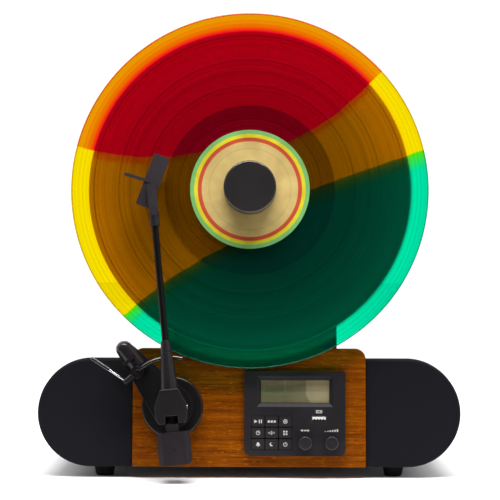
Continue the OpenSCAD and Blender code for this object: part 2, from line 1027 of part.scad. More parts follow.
// Half-round rest with a domed end, and the open clip that holds the parked tube
module arm_rest() {
    start = lift_r + 3;
    clip_y = lift_r + lift_house_r + 4.4;
    clip_gap = 0.6;
    clip_n = arm_n - tube_r - 1.4 - clip_gap;
    clip_w = 12;
    clip_t = 2;
    clip_depth = 3;
    clip_left = -8;
    stalk_w = 5;
    color([0.05, 0.05, 0.055])
        at_pivot()
            rotate([0, 0, park_angle]) {
                difference() {
                    intersection() {
                        translate([0, 0, bracket_n + 1])
                            union() {
                                translate([0, start, 0])
                                    rotate([-90, 0, 0])
                                        cylinder(r = bracket_end_r, h = bracket_reach - start - 1);
                                translate([0, start, 0])
                                    rotate([-90, 0, 0])
                                        cylinder(r = bracket_end_r - 0.8, h = bracket_reach - start);
                                translate([0, bracket_reach, 0])
                                    sphere(r = bracket_end_r - 0.3);
                            }
                        translate([-2 * bracket_end_r, 0, bracket_n])
                            cube([4 * bracket_end_r, bracket_reach + 2 * bracket_end_r, 4 * bracket_end_r]);
                    }
                    rotate([0, 0, lift_angle - park_angle])
                        translate([0, lift_r, 0])
                            cylinder(r = lift_house_r + 0.3, h = arm_n);
                }
                translate([-stalk_w / 2, clip_y, bracket_n + 4])
                    cube([stalk_w, clip_depth, clip_n - bracket_n - 4]);
                translate([clip_left, clip_y, clip_n - clip_t])
                    cube([clip_w, clip_depth, clip_t]);
                translate([clip_left, clip_y, clip_n - clip_t])
                    cube([clip_t, clip_depth, 9]);
            }
}

// Block that turns on the base and carries the lift axis
module swing_block() {
    collar_t = 3;
    column_r = 5;
    yoke_w = 15.6;
    yoke_h = 8;
    yoke_t = 4.6;
    color([0.35, 0.35, 0.37])
        at_arm()
            difference() {
                union() {
                    translate([0, 0, 2])
                        cylinder(r = swing_post_r, h = bracket_n);
                    translate([0, 0, bracket_n + 0.5])
                        cylinder(r = 9, h = collar_t);
                    translate([0, 0, bracket_n + 0.5])
                        cylinder(r = column_r, h = arm_n - bracket_n + yoke_h / 2);
                    translate([-yoke_w / 2, -tilt_back - 1.6, arm_n - yoke_h / 2])
                        cube([yoke_w, yoke_t, yoke_h]);
                }
                for (side = [-1, 1])
                    translate([side * (yoke_w / 2 - 1.8), -tilt_back, arm_n])
                        rotate([0, side * 90, 0])
                            cylinder(r = screw_tip_r + run_fit, h = 4);
            }
}

// Hood over the swing block, with the stem for the counterweight
module arm_housing() {
    half = housing_w / 2;
    slot = stem_r + 0.15;
    low_n = arm_n - housing_drop;
    shoulder = 1.8;
    waist = housing_end - 4.5;
    cavity_w = 17.6;
    cavity_y = -housing_back + 1;
    cavity_len = 14.2;
    color([0.06, 0.06, 0.065])
        at_arm()
            difference() {
                union() {
                    translate([0, 0, low_n])
                        linear_extrude(housing_h)
                            polygon([
                                [-sleeve_r, housing_front], [sleeve_r, housing_front],
                                [half, shoulder], [half, -waist], [half - housing_bevel, -housing_end],
                                [slot, -housing_end], [slot, -housing_back],
                                [-slot, -housing_back], [-slot, -housing_end],
                                [housing_bevel - half, -housing_end], [-half, -waist], [-half, shoulder]
                            ]);
                    translate([0, -housing_back + 0.5, arm_n])
                        rotate([90, 0, 0])
                            cylinder(r = stem_r, h = weight_start + weight_len - housing_back - 4);
                }
                translate([-cavity_w / 2, cavity_y, low_n - 1])
                    cube([cavity_w, cavity_len, housing_h - 2]);
                for (side = [-1, 1])
                    translate([side * (half - 6), -tilt_back, arm_n])
                        rotate([0, side * 90, 0])
                            cylinder(r = tilt_screw_r, h = 12);
            }
}

// Pointed screws of the lift axis, one from each side
module pivot_screws() {
    half = housing_w / 2;
    color([0.7, 0.7, 0.72])
        at_arm()
            for (side = [-1, 1])
                translate([side * (half + 0.5), -tilt_back, arm_n])
                    rotate([0, -side * 90, 0])
                        union() {
                            cylinder(r = tilt_screw_r, h = half + 0.5 - 8.5);
                            cylinder(r = screw_tip_r, h = half + 0.5 - 6.5);
                        }
}

module arm_sleeve() {
    color([0.07, 0.07, 0.075])
        along_arm(housing_front)
            difference() {
                union() {
                    cylinder(r1 = sleeve_r, r2 = sleeve_mid_r, h = sleeve_len);
                    cylinder(r = sleeve_mid_r - 0.6, h = sleeve_len + 0.8);
                    translate([0, 0, sleeve_len + 0.8])
                        cylinder(r1 = sleeve_mid_r - 0.15, r2 = tube_r + 0.95, h = sleeve_tip - 0.8);
                }
                translate([0, 0, sleeve_len - 4])
                    cylinder(r = tube_r, h = sleeve_tip + 6);
            }
}

module arm_tube() {
    start = housing_front + sleeve_len - 4;
    color([0.08, 0.08, 0.085])
        along_arm(start)
            cylinder(r = tube_r, h = tube_end + 4 - start);
}

module tube_collar() {
    color([0.06, 0.06, 0.065])
        along_arm(tube_end)
            difference() {
                union() {
                    cylinder(r = collar_r, h = collar_len);
                    translate([0, 0, collar_len - 2.5])
                        cylinder(r = collar_r + 0.3, h = 1.5);
                }
                translate([0, 0, -1])
                    cylinder(r = tube_r, h = 5);
            }
}

// Places the headshell's own frame: its front middle, with Y pointing forward along it.
module at_shell() {
    at_arm()
        translate([shell_x, shell_y, 0])
            rotate([0, 0, -shell_angle])
                children();
}

// Flat headshell on a square neck, with its finger lift
module headshell() {
    corner = 1.2;
    neck_h = 6;
    finger = [2.6, 27.5, 1.8];
    finger_x = 4.2;
    finger_angle = 68;
    color([0.05, 0.05, 0.055])
        union() {
            at_shell()
                translate([-shell_w / 2, -shell_len, shell_n])
                    linear_extrude(shell_t)
                        rounded(shell_w, shell_len, corner, corner);
            at_arm()
                translate([-collar_r + 0.3, tube_end + collar_len, shell_n + 0.5])
                    cube([2 * collar_r - 0.6, finger_y - tube_end - collar_len, neck_h]);
            at_arm()
                translate([finger_x, finger_y, arm_n - 1])
                    rotate([0, 0, finger_angle])
                        translate([-finger[0] / 2, 0, 0])
                            cube(finger);
        }
}

module cartridge() {
    body = [10.4, 20, cartridge_h];
    color([0.10, 0.10, 0.11])
        at_shell()
            translate([-body[0] / 2, -body[1] - 4, shell_n - cartridge_h])
                cube(body);
}

// Stylus holder under the cartridge, with its cantilever and tip
module stylus() {
    tip_n = record_front + 0.3;
    holder = [6.8, 14, 2.2];
    holder_n = shell_n - cartridge_h - holder[2];
    color([0.6, 0.08, 0.06])
        at_shell() {
            translate([-holder[0] / 2, -22, holder_n])
                cube(holder);
            translate([-0.6, -12, holder_n - 0.8])
                cube([1.2, 6, 1]);
            translate([0, -7, tip_n])
                cylinder(r1 = 0.2, r2 = 0.6, h = holder_n - tip_n);
        }
}

// Heavy block on the stem, with a bevelled front and rounded lower corners
module counterweight() {
    half = weight_w / 2;
    deep = weight_depth / 2;
    face = 5.5;
    slope = 7;
    back_bevel = 3;
    corner = 4;
    color([0.09, 0.09, 0.095])
        difference() {
            union() {
                intersection() {
                    along_arm(-weight_start - weight_len)
                        linear_extrude(weight_len)
                            polygon([
                                [-half, back_bevel - deep], [corner - half, -deep], [half - corner, -deep],
                                [half, back_bevel - deep], [half, deep - slope], [face, deep], [-face, deep],
                                [-half, deep - slope]
                            ]);
                    at_arm()
                        translate([-half, -weight_start - weight_len, 0])
                            linear_extrude(2 * arm_n)
                                rounded(weight_w, weight_len, corner, 1);
                }
                at_arm()
                    translate([-weight_neck / 2, -weight_start - 2, arm_n + stem_r + 0.3])
                        cube([weight_neck, weight_start - housing_end + 1.7, deep - stem_r - 1.8]);
            }
            along_arm(-weight_start - weight_len + 3)
                cylinder(r = stem_r, h = weight_len);
            at_arm()
                translate([0, -weight_start - weight_len / 2 - 1, arm_n + stem_r - 1])
                    cylinder(r = 1.2, h = weight_depth);
        }
}

module at_lift() {
    at_pivot()
        rotate([0, 0, lift_angle])
            translate([0, lift_r, 0])
                rotate([0, 0, -lift_angle])
                    children();
}

// Round housing of the lift on the bracket
module lift_housing() {
    color([0.05, 0.05, 0.055])
        at_lift()
            difference() {
                translate([0, 0, bracket_n])
                    cylinder(r = lift_house_r, h = lift_n - 3.5 - bracket_n);
                translate([0, 0, bracket_n + 1])
                    cylinder(r = lift_post_r + run_fit, h = lift_n);
                rotate([0, 0, lift_shaft_angle])
                    translate([0, -lift_house_r - 1, lift_shaft_n])
                        rotate([-90, 0, 0])
                            cylinder(r = lift_shaft_r + run_fit, h = 2 * lift_house_r + 2);
            }
}

// Curved bar under the tonearm, on the post that raises it
module lift_bar() {
    first = -12.5;
    last = lift_angle;
    post_n = lift_shaft_n + lift_shaft_r + 0.4;
    color([0.08, 0.08, 0.085])
        union() {
            at_pivot()
                translate([0, 0, lift_n - lift_bar_t])
                    union() {
                        rotate([0, 0, 90 + first])
                            rotate_extrude(angle = last - first)
                                translate([lift_r - lift_w / 2, 0])
                                    square([lift_w, lift_bar_t]);
                        for (turn = [first, last])
                            rotate([0, 0, turn])
                                translate([0, lift_r, 0])
                                    cylinder(r = lift_w / 2 - 0.1, h = lift_bar_t);
                    }
            at_lift()
                translate([0, 0, post_n])
                    cylinder(r = lift_post_r, h = lift_n - 1 - post_n);
        }
}

// Turning shaft of the lift, with the hub that holds the lever
module lift_shaft() {
    color([0.06, 0.06, 0.065])
        at_lift()
            rotate([0, 0, lift_shaft_angle])
                translate([0, 0, lift_shaft_n])
                    difference() {
                        union() {
                            translate([0, -lift_shaft_tail, 0])
                                rotate([-90, 0, 0])
                                    cylinder(r = lift_shaft_r, h = lift_shaft_len + lift_shaft_tail);
                            translate([0, lift_house_r + 0.6, 0])
                                rotate([-90, 0, 0])
                                    cylinder(r = lever_hub_r, h = lift_shaft_len + lever_r - lift_house_r);
                            translate([0, lift_shaft_len + lever_r + 0.6, 0])
                                rotate([-90, 0, 0])
                                    cylinder(r1 = lever_hub_r, r2 = lift_shaft_r, h = 0.6);
                        }
                        translate([0, lift_shaft_len, 0])
                            rotate([0, 0, lever_angle - lift_shaft_angle])
                                rotate([-90, 0, 0])
                                    cylinder(r = lever_r + run_fit, h = 10);
                    }
}

module at_lever() {
    at_lift()
        rotate([0, 0, lift_shaft_angle])
            translate([0, lift_shaft_len, lift_shaft_n])
                rotate([0, 0, lever_angle - lift_shaft_angle])
                    rotate([-90, 0, 0])
                        children();
}

module cue_lever() {
    color([0.8, 0.8, 0.82])
        at_lever()
            cylinder(r = lever_r, h = lever_len + grip_len - 4);
}

module lever_grip() {
    grip_r = 1.65;
    color([0.04, 0.04, 0.04])
        at_lever()
            difference() {
                union() {
                    translate([0, 0, lever_len])
                        cylinder(r = grip_r, h = grip_len - grip_r);
                    translate([0, 0, lever_len + grip_len - grip_r])
                        sphere(r = grip_r);
                }
                translate([0, 0, lever_len - 1])
                    cylinder(r = lever_r + run_fit, h = grip_len - 3);
            }
}

// Places a key by its column and row: column 0 on the left and row 0 at the top.
module at_key(column, row) {
    at_fascia()
        translate([keys_x + (column + 0.5) * key_pitch_x, keys_u + (2.5 - row) * key_pitch_u, 0])
            children();
}

key_w = key_pitch_x - key_gap;
key_h = key_pitch_u - key_gap;
stem_w = 5;
key_floor = 0.2;

// Section of the slope round the display: wide at the fascia's face and narrow at the glass
module slope_section(size) {
    polygon([
        [window_bevel, glass_n], [size - window_bevel, glass_n], [size, fascia_t], [size, fascia_t + 1],
        [0, fascia_t + 1], [0, fascia_t]
    ]);
}

module window_slope() {
    translate([window_x, window_u, 0])
        intersection() {
            translate([0, window_h, 0])
                rotate([90, 0, 0])
                    linear_extrude(window_h)
                        slope_section(window_w);
            rotate([90, 0, 90])
                linear_extrude(window_w)
                    slope_section(window_h);
        }
}

// Control fascia: a plate with a window, a keypad well, two knob holes and a socket opening
module control_fascia() {
    post_inset = fascia_lip + 2.7;
    color([0.05, 0.05, 0.055])
        at_fascia()
            difference() {
                union() {
                    linear_extrude(fascia_t)
                        rounded(fascia_w, fascia_h, 6, 2);
                    translate([fascia_lip + 0.2, fascia_lip + 0.2, -3])
                        cube([fascia_w - 2 * fascia_lip - 0.4, fascia_h - 2 * fascia_lip - 0.4, 4]);
                    for (x = [post_inset, fascia_w - post_inset], y = [fascia_h / 2, fascia_h / 2 + 4.6])
                        translate([x, y, board_n + board_t])
                            cylinder(r = 2.2, h = -board_n - board_t);
                }
                translate([fascia_lip + 1.6, fascia_lip + 1.6, -4])
                    cube([fascia_w - 2 * fascia_lip - 3.2, fascia_h / 2 - fascia_lip - 4, 3]);
                translate([window_x + window_bevel, window_u + window_bevel, -4])
                    cube([window_w - 2 * window_bevel, window_h - 2 * window_bevel, fascia_t + 5]);
                window_slope();
                translate([keys_x, keys_u, key_floor])
                    cube([keypad_w, keypad_h, fascia_t]);
                for (column = [0 : 2], row = [0 : 2])
                    translate([keys_x + (column + 0.5) * key_pitch_x, keys_u + (row + 0.5) * key_pitch_u, -4])
                        translate([-stem_w / 2 - 0.4, -stem_w / 2 - 0.4, 0])
                            cube([stem_w + 0.8, stem_w + 0.8, 6]);
                for (x = [tune_x, volume_x])
                    translate([x, knob_u, -4])
                        cylinder(r = 3.8, h = fascia_t + 5);
                translate([usb_x - usb_w / 2 - usb_gap, usb_u - usb_h / 2 - usb_gap, -4])
                    cube([usb_w + 2 * usb_gap, usb_h + 2 * usb_gap, fascia_t + 5]);
            }
}

module display_window() {
    color([0.30, 0.32, 0.28, 0.5])
        at_fascia()
            translate([window_x + window_bevel + 0.15, window_u + window_bevel + 0.15, glass_n - glass_t])
                cube([window_w - 2 * window_bevel - 0.3, window_h - 2 * window_bevel - 0.3, glass_t]);
}

module display_module() {
    color([0.42, 0.44, 0.38])
        at_fascia()
            translate([window_x + window_bevel + 0.4, window_u + window_bevel + 0.4, board_n + board_t])
                cube([
                    window_w - 2 * window_bevel - 0.8,
                    window_h - 2 * window_bevel - 0.8,
                    glass_n - glass_t - board_n - board_t
                ]);
}

// Board with the key switches and the two rotary controls
module control_board() {
    top = board_n + board_t;
    color([0.05, 0.25, 0.12])
        at_fascia() {
            translate([fascia_lip + 1, fascia_lip + 1, board_n])
                cube([fascia_w - 2 * fascia_lip - 2, fascia_h - 2 * fascia_lip - 2, board_t]);
            for (column = [0 : 2], row = [0 : 2])
                translate([keys_x + (column + 0.5) * key_pitch_x, keys_u + (row + 0.5) * key_pitch_u, top]) {
                    translate([-3, -3, 0])
                        cube([6, 6, 3]);
                    cylinder(r = 1.6, h = switch_h);
                }
            for (x = [tune_x, volume_x])
                translate([x, knob_u, top]) {
                    translate([-6, -4.6, 0])
                        cube([12, 9.6, 6]);
                    cylinder(r = 3.5, h = 7.5);
                    cylinder(r = knob_shaft_r, h = fascia_t + knob_h - 2.4 - top);
                }
        }
}

// Metal shell of the USB socket with its tongue
module usb_socket() {
    top = board_n + board_t;
    color([0.75, 0.75, 0.76])
        at_fascia()
            translate([usb_x, usb_u, top]) {
                difference() {
                    translate([-usb_w / 2, -usb_h / 2, 0])
                        cube([usb_w, usb_h, fascia_t - 0.4 - top]);
                    translate([usb_skin - usb_w / 2, usb_skin - usb_h / 2, 1.5])
                        cube([usb_w - 2 * usb_skin, usb_h - 2 * usb_skin, 20]);
                }
                translate([-5.6, -0.5, 1])
                    cube([11.2, 1.8, fascia_t - 2 - top]);
            }
}

// Round knob on a rotary control's shaft, with a groove that points at its setting
module knob(x) {
    at_fascia()
        translate([x, knob_u, fascia_t + 0.6])
            difference() {
                union() {
                    cylinder(r1 = knob_r, r2 = knob_r - 0.3, h = knob_h - 1.2);
                    translate([0, 0, knob_h - 1.2])
                        cylinder(r1 = knob_r - 0.3, r2 = knob_r - 0.9, h = 0.6);
                }
                translate([0, 0, -1])
                    cylinder(r = knob_shaft_r + run_fit, h = knob_h - 1.8);
                translate([-0.35, knob_r - 3, knob_h - 1])
                    cube([0.7, 4, 1]);
            }
}

module tune_knob() {
    color([0.05, 0.05, 0.05])
        knob(tune_x);
}

module volume_knob() {
    color([0.05, 0.05, 0.05])
        knob(volume_x);
}

// Key cap with the stem that presses its switch
module key(column, row) {
    color([0.07, 0.07, 0.075])
        at_key(column, row)
            union() {
                translate([-key_w / 2, -key_h / 2, key_floor + key_travel + 0.4])
                    linear_extrude(fascia_t + 0.2 - key_floor - key_travel - 0.4)
                        rounded(key_w, key_h, 0.8, 0.4);
                translate([-stem_w / 2, -stem_w / 2, key_travel + 0.4 + board_n + board_t + switch_h])
                    cube([stem_w, stem_w, key_floor - board_n - board_t - 3]);
            }
}

module play_key() { key(0, 0); }
module preset_key() { key(1, 0); }
module select_key() { key(2, 0); }
module timer_key() { key(0, 1); }
module band_key() { key(1, 1); }
module mode_key() { key(2, 1); }
module alarm_key() { key(0, 2); }
module sleep_key() { key(1, 2); }
module power_key() { key(2, 2); }

cabinet_shell();
baffle_board();
front_panel();
left_grille();
right_grille();
back_cover();
feet();
left_driver();
right_driver();
main_board();
rear_jacks();
case_screws();
tower_shell();
tower_cover();
bearing_housing();
drive_motor();
motor_pulley();
drive_belt();
drive_pulley();
spindle();
platter();
platter_mat();
record();
record_label();
record_clamp();
tonearm_base();
arm_bracket();
arm_rest();
swing_block();
arm_housing();
pivot_screws();
arm_sleeve();
arm_tube();
tube_collar();
headshell();
cartridge();
stylus();
counterweight();
lift_housing();
lift_bar();
lift_shaft();
cue_lever();
lever_grip();
control_fascia();
display_window();
display_module();
control_board();
usb_socket();
tune_knob();
volume_knob();
play_key();
preset_key();
select_key();
timer_key();
band_key();
mode_key();
alarm_key();
sleep_key();
power_key();
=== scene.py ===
"""Looks of a vertical record player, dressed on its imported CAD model. Metres, +Z up, front towards -Y."""

import json
import math

import bmesh
import bpy
from mathutils import Matrix, Vector

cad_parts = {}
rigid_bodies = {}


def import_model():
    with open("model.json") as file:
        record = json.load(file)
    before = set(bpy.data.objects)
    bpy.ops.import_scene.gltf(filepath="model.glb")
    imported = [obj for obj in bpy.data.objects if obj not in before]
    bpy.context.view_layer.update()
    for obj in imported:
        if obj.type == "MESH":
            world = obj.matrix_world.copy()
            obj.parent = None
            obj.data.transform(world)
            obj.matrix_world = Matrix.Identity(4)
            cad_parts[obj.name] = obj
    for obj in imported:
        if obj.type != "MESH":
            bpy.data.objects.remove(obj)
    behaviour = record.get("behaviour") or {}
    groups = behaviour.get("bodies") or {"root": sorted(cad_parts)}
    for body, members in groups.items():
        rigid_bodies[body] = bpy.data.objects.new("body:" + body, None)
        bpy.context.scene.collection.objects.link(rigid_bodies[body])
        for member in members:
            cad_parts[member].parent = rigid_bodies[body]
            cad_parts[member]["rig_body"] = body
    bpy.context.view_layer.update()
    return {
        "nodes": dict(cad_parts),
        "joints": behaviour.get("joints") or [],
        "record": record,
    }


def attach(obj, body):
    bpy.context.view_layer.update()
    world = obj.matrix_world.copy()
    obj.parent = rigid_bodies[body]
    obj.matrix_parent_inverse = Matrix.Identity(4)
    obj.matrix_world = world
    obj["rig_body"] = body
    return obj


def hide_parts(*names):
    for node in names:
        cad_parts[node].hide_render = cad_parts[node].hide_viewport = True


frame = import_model()
nodes = frame["nodes"]
joints = {joint["name"]: joint for joint in frame["joints"]}
scene = bpy.context.scene

MM = 0.001

# The deck: across, up the slope and out to the listener, about the spindle
RIGHT = Vector((1, 0, 0))
OUT = Vector(joints["platter_spin"]["axis"])
UP = OUT.cross(RIGHT)
DECK = Matrix.Translation(joints["platter_spin"]["pos_m"]) @ Matrix((RIGHT, UP, OUT)).transposed().to_4x4()


def deck_box(*names):
    """Lowest and highest corner of some CAD nodes, measured across, up and out of the deck."""
    flat = DECK.inverted()
    points = [flat @ v.co for name in names for v in nodes[name].data.vertices]
    low = Vector([min(p[i] for p in points) for i in range(3)])
    high = Vector([max(p[i] for p in points) for i in range(3)])
    return low, high


# Camera, as the photograph was taken: level, straight on and far off

FRAME_PX = 500
FOCAL_PX = 1780.5
SENSOR_MM = 36
CAMERA_AT = Vector((0.25, -1575.4, 191.0)) * MM
CAMERA_ROLL = math.radians(-0.19)


def add_camera():
    data = bpy.data.cameras.new("camera")
    data.sensor_width = SENSOR_MM
    data.lens = FOCAL_PX / FRAME_PX * SENSOR_MM
    camera = bpy.data.objects.new("camera", data)
    camera.location = CAMERA_AT
    camera.rotation_euler = (math.pi / 2, CAMERA_ROLL, 0)
    scene.collection.objects.link(camera)
    scene.camera = camera


# Node helpers for the materials


def rgb(red, green, blue):
    """Linear colour of an sRGB one given from 0 to 255."""
    def linear(c):
        c = c / 255
        return c / 12.92 if c <= 0.04045 else ((c + 0.055) / 1.055) ** 2.4
    return (linear(red), linear(green), linear(blue), 1)


def scaled(colour, factor):
    """A darker or lighter tone of a colour."""
    return [min(1, c * factor) for c in colour[:3]] + [1]


# Scale of a position given in mm
PER_MM = (1000, 1000, 1000)


class Look:
    """A material under construction. Each call adds one node and returns its main output."""

    def __init__(self, name, **values):
        self.material = bpy.data.materials.new(name)
        self.material.use_nodes = True
        self.tree = self.material.node_tree
        self.shader = self.tree.nodes["Principled BSDF"]
        self.set(**values)

    def set(self, **values):
        """Sets or links the shader's sockets, named with underscores for spaces."""
        for name, value in values.items():
            self.join(value, self.shader.inputs[name.replace("_", " ")])
        return self

    def join(self, value, socket):
        if isinstance(value, bpy.types.NodeSocket):
            self.tree.links.new(value, socket)
        else:
            socket.default_value = value

    def node(self, kind, *inputs, out=0, **settings):
        made = self.tree.nodes.new("ShaderNode" + kind)
        for name, value in settings.items():
            setattr(made, name, value)
        for socket, value in zip(made.inputs, inputs):
            if value is not None:
                self.join(value, socket)
        return made.outputs[out]

    def place(self):
        """Position in the shared frame, which rides with the piece."""
        return self.node("TexCoord", out=3)

    def on(self, place, scale):
        """Position about a spot: across, up and out, each in that many units a metre."""
        spot = self.node(
            "Mapping", self.place(), place.to_translation(), place.to_euler(), vector_type="TEXTURE",
        )
        return self.node("Mapping", spot, None, None, scale, vector_type="POINT")

    def noise(self, vector, scale, detail=2.0, rough=0.5, warp=0.0):
        made = self.tree.nodes.new("ShaderNodeTexNoise")
        self.join(vector, made.inputs["Vector"])
        made.inputs["Scale"].default_value = scale
        made.inputs["Detail"].default_value = detail
        made.inputs["Roughness"].default_value = rough
        made.inputs["Distortion"].default_value = warp
        return made.outputs[0]

    def math(self, kind, a, b=0.0, c=0.0):
        return self.node("Math", a, b, c, operation=kind)

    def span(self, value, low, high, to_low=0.0, to_high=1.0, smooth=False):
        """Maps low..high to another range, held at its ends."""
        kind = "SMOOTHSTEP" if smooth else "LINEAR"
        return self.node("MapRange", value, low, high, to_low, to_high, interpolation_type=kind)

    def ramp(self, value, *stops):
        made = self.tree.nodes.new("ShaderNodeValToRGB")
        self.join(value, made.inputs[0])
        elements = made.color_ramp.elements
        while len(elements) < len(stops):
            elements.new(0.5)
        for element, (at, colour) in zip(elements, stops):
            element.position = at
            element.color = colour
        return made.outputs[0]

    def mix(self, share, a, b, kind="MIX"):
        made = self.tree.nodes.new("ShaderNodeMix")
        made.data_type = "RGBA"
        made.blend_type = kind
        self.join(share, made.inputs[0])
        self.join(a, made.inputs[6])
        self.join(b, made.inputs[7])
        return made.outputs[2]

    def parts(self, vector):
        return self.node("SeparateXYZ", vector).node.outputs

    def radius(self, x, u):
        """Distance from the axis of the spot that x and u are measured from."""
        return self.node("VectorMath", self.node("CombineXYZ", x, u), operation="LENGTH", out=1)

    def bump(self, height, depth, strength=1.0):
        made = self.tree.nodes.new("ShaderNodeBump")
        made.inputs["Strength"].default_value = strength
        made.inputs["Distance"].default_value = depth
        self.join(height, made.inputs["Height"])
        return made.outputs[0]

    def over(self, shader, share):
        """Mixes a second shader over the main one and makes that the surface."""
        out = self.tree.nodes["Material Output"]
        both = self.node("MixShader", share, self.shader.outputs[0], shader)
        self.tree.links.new(both, out.inputs["Surface"])
        return self


# Materials


# Grain of the veneer, in features a metre along the grain and twice across it
WOOD_BANDS = (9, 160, 160)
WOOD_STREAKS = (26, 620, 620)
WOOD_PORES = (85, 1250, 1250)
WOOD_FLECKS = (170, 900, 900)


def wood(name, dark, light, roughness):
    """Stained veneer with level grain: broad bands, fine streaks, short open pores and pale flecks."""
    look = Look(name, Specular_IOR_Level=0.06)
    bands = look.noise(look.on(DECK, WOOD_BANDS), 1.0, 3, 0.55, 0.6)
    streaks = look.noise(look.on(DECK, WOOD_STREAKS), 1.0, 3, 0.65, 0.3)
    pores = look.noise(look.on(DECK, WOOD_PORES), 1.0, 2, 0.5)
    tone = look.math("MULTIPLY_ADD", streaks, 0.55, look.math("MULTIPLY", bands, 0.45))
    pits = look.span(pores, 0.60, 0.70)
    middle = [(a + b) / 2 for a, b in zip(dark, light)]
    stain = look.ramp(tone, (0.36, dark), (0.50, middle), (0.64, light))
    deep = scaled(dark, 0.42)
    flecks = look.span(look.noise(look.on(DECK, WOOD_FLECKS), 1.0, 1, 0.5), 0.62, 0.72)
    pale = scaled(light, 2.1)
    pitted = look.mix(look.math("MULTIPLY", pits, 0.65), stain, deep)
    look.set(Base_Color=look.mix(look.math("MULTIPLY", flecks, 0.5), pitted, pale))
    look.set(Roughness=look.span(tone, 0.3, 0.7, roughness + 0.08, roughness - 0.06))
    height = look.math("SUBTRACT", tone, look.math("MULTIPLY", pits, 0.7))
    return look.set(Normal=look.bump(height, 0.08 * MM, 0.5)).material


SPARK_GRAIN = 0.35 * MM


def moulded(name, colour, roughness, shine=0.1, drift=0.2):
    """Injection-moulded plastic: fine spark grain and faint flow marks."""
    look = Look(name, Specular_IOR_Level=shine)
    fine = look.noise(look.place(), 1 / SPARK_GRAIN, 2, 0.6)
    flow = look.noise(look.place(), 38, 3, 0.5, 0.4)
    low = scaled(colour, 1 - drift)
    high = scaled(colour, 1 + drift)
    look.set(Base_Color=look.ramp(flow, (0.3, low), (0.7, high)))
    look.set(Roughness=look.math("MULTIPLY_ADD", fine, 0.12, roughness - 0.06))
    return look.set(Normal=look.bump(fine, 0.02 * MM, 0.35)).material


def lacquer(name, colour):
    """Polished black lacquer with a trace of orange peel."""
    look = Look(name, Coat_Weight=1.0, Coat_Roughness=0.04, Specular_IOR_Level=0.3)
    peel = look.noise(look.place(), 260, 2, 0.4)
    dust = look.noise(look.place(), 45, 3, 0.5)
    pale = scaled(colour, 1.25)
    look.set(Base_Color=look.ramp(dust, (0.35, colour), (0.65, pale)))
    look.set(Roughness=look.span(dust, 0.3, 0.7, 0.2, 0.28))
    return look.set(Coat_Normal=look.bump(peel, 0.01 * MM, 0.15)).material


def metal(name, colour, roughness, brushed=(900, 900, 900)):
    """Metal with fine tooling marks and slight dulling."""
    look = Look(name, Metallic=1.0)
    marks = look.noise(look.on(DECK, brushed), 1.0, 3, 0.6)
    dull = look.noise(look.place(), 60, 3, 0.5)
    low = scaled(colour, 0.86)
    look.set(Base_Color=look.ramp(dull, (0.35, low), (0.65, colour)))
    look.set(Roughness=look.math("MULTIPLY_ADD", marks, 0.14, roughness - 0.07))
    return look.set(Normal=look.bump(marks, 0.01 * MM, 0.3)).material


CLOTH_THREAD = 0.55 * MM


def cloth(name, colour):
    """Speaker cloth: a plain weave of round threads with uneven yarn."""
    look = Look(name, Specular_IOR_Level=0.05, Sheen_Weight=0.03, Sheen_Roughness=0.5)
    across, up, _ = look.parts(look.on(DECK, (math.pi / CLOTH_THREAD,) * 3))
    warp = look.math("ABSOLUTE", look.math("SINE", across))
    weft = look.math("ABSOLUTE", look.math("SINE", up))
    checks = look.math("MULTIPLY", look.math("SINE", across), look.math("SINE", up))
    over = look.span(checks, -0.2, 0.2)
    weave = look.node("Mix", over, None, warp, weft, out=0)
    yarn = look.noise(look.on(DECK, (300, 2200, 300)), 1.0, 2, 0.6)
    dark = scaled(colour, 0.45)
    tone = look.math("MULTIPLY_ADD", weave, 0.7, look.math("MULTIPLY", yarn, 0.3))
    look.set(Base_Color=look.ramp(tone, (0.1, dark), (0.9, colour)))
    look.set(Roughness=look.span(yarn, 0.3, 0.7, 0.8, 0.95))
    return look.set(Normal=look.bump(weave, 0.18 * MM, 0.6)).material


def rubber(name, colour):
    """Matt rubber with a dusty bloom."""
    look = Look(name, Specular_IOR_Level=0.08)
    bloom = look.noise(look.place(), 160, 4, 0.6)
    pale = [c * 1.7 + 0.002 for c in colour[:3]] + [1]
    look.set(Base_Color=look.ramp(bloom, (0.4, colour), (0.75, pale)))
    look.set(Roughness=look.span(bloom, 0.3, 0.7, 0.62, 0.85))
    return look.set(Normal=look.bump(bloom, 0.05 * MM, 0.4)).material


def fibreboard(name, colour):
    """Pressed board with fine fibres."""
    look = Look(name, Specular_IOR_Level=0.2)
    fibres = look.noise(look.place(), 700, 4, 0.7, 0.5)
    pale = scaled(colour, 1.5)
    look.set(Base_Color=look.ramp(fibres, (0.35, colour), (0.65, pale)))
    look.set(Roughness=look.span(fibres, 0.3, 0.7, 0.75, 0.95))
    return look.set(Normal=look.bump(fibres, 0.06 * MM, 0.5)).material


def circuit(name):
    """Green solder mask with paler copper tracks under it."""
    look = Look(name, Specular_IOR_Level=0.4)
    across, up, _ = look.parts(look.on(DECK, (420, 420, 420)))
    wander = look.noise(look.place(), 120, 1, 0.4)
    lines = look.math("SINE", look.math("MULTIPLY_ADD", wander, 14.0, look.math("ADD", across, up)))
    track = look.span(lines, 0.2, 0.4)
    look.set(Base_Color=look.mix(track, rgb(14, 58, 34), rgb(34, 96, 52)))
    look.set(Roughness=look.span(track, 0, 1, 0.45, 0.3))
    return look.set(Normal=look.bump(track, 0.03 * MM, 0.4)).material


# The record's colours: what the vinyl scatters near the label, a brighter painted glow over the grooves that
# stands in for light scattered in from the backlit rim, and what each of its two faces lets through near the
# label, near the platter's edge and beyond it


def pour(red, amber, lime, green):
    """The colours of the disc's four zones, given as sRGB."""
    return {"red": rgb(*red), "amber": rgb(*amber), "lime": rgb(*lime), "green": rgb(*green)}


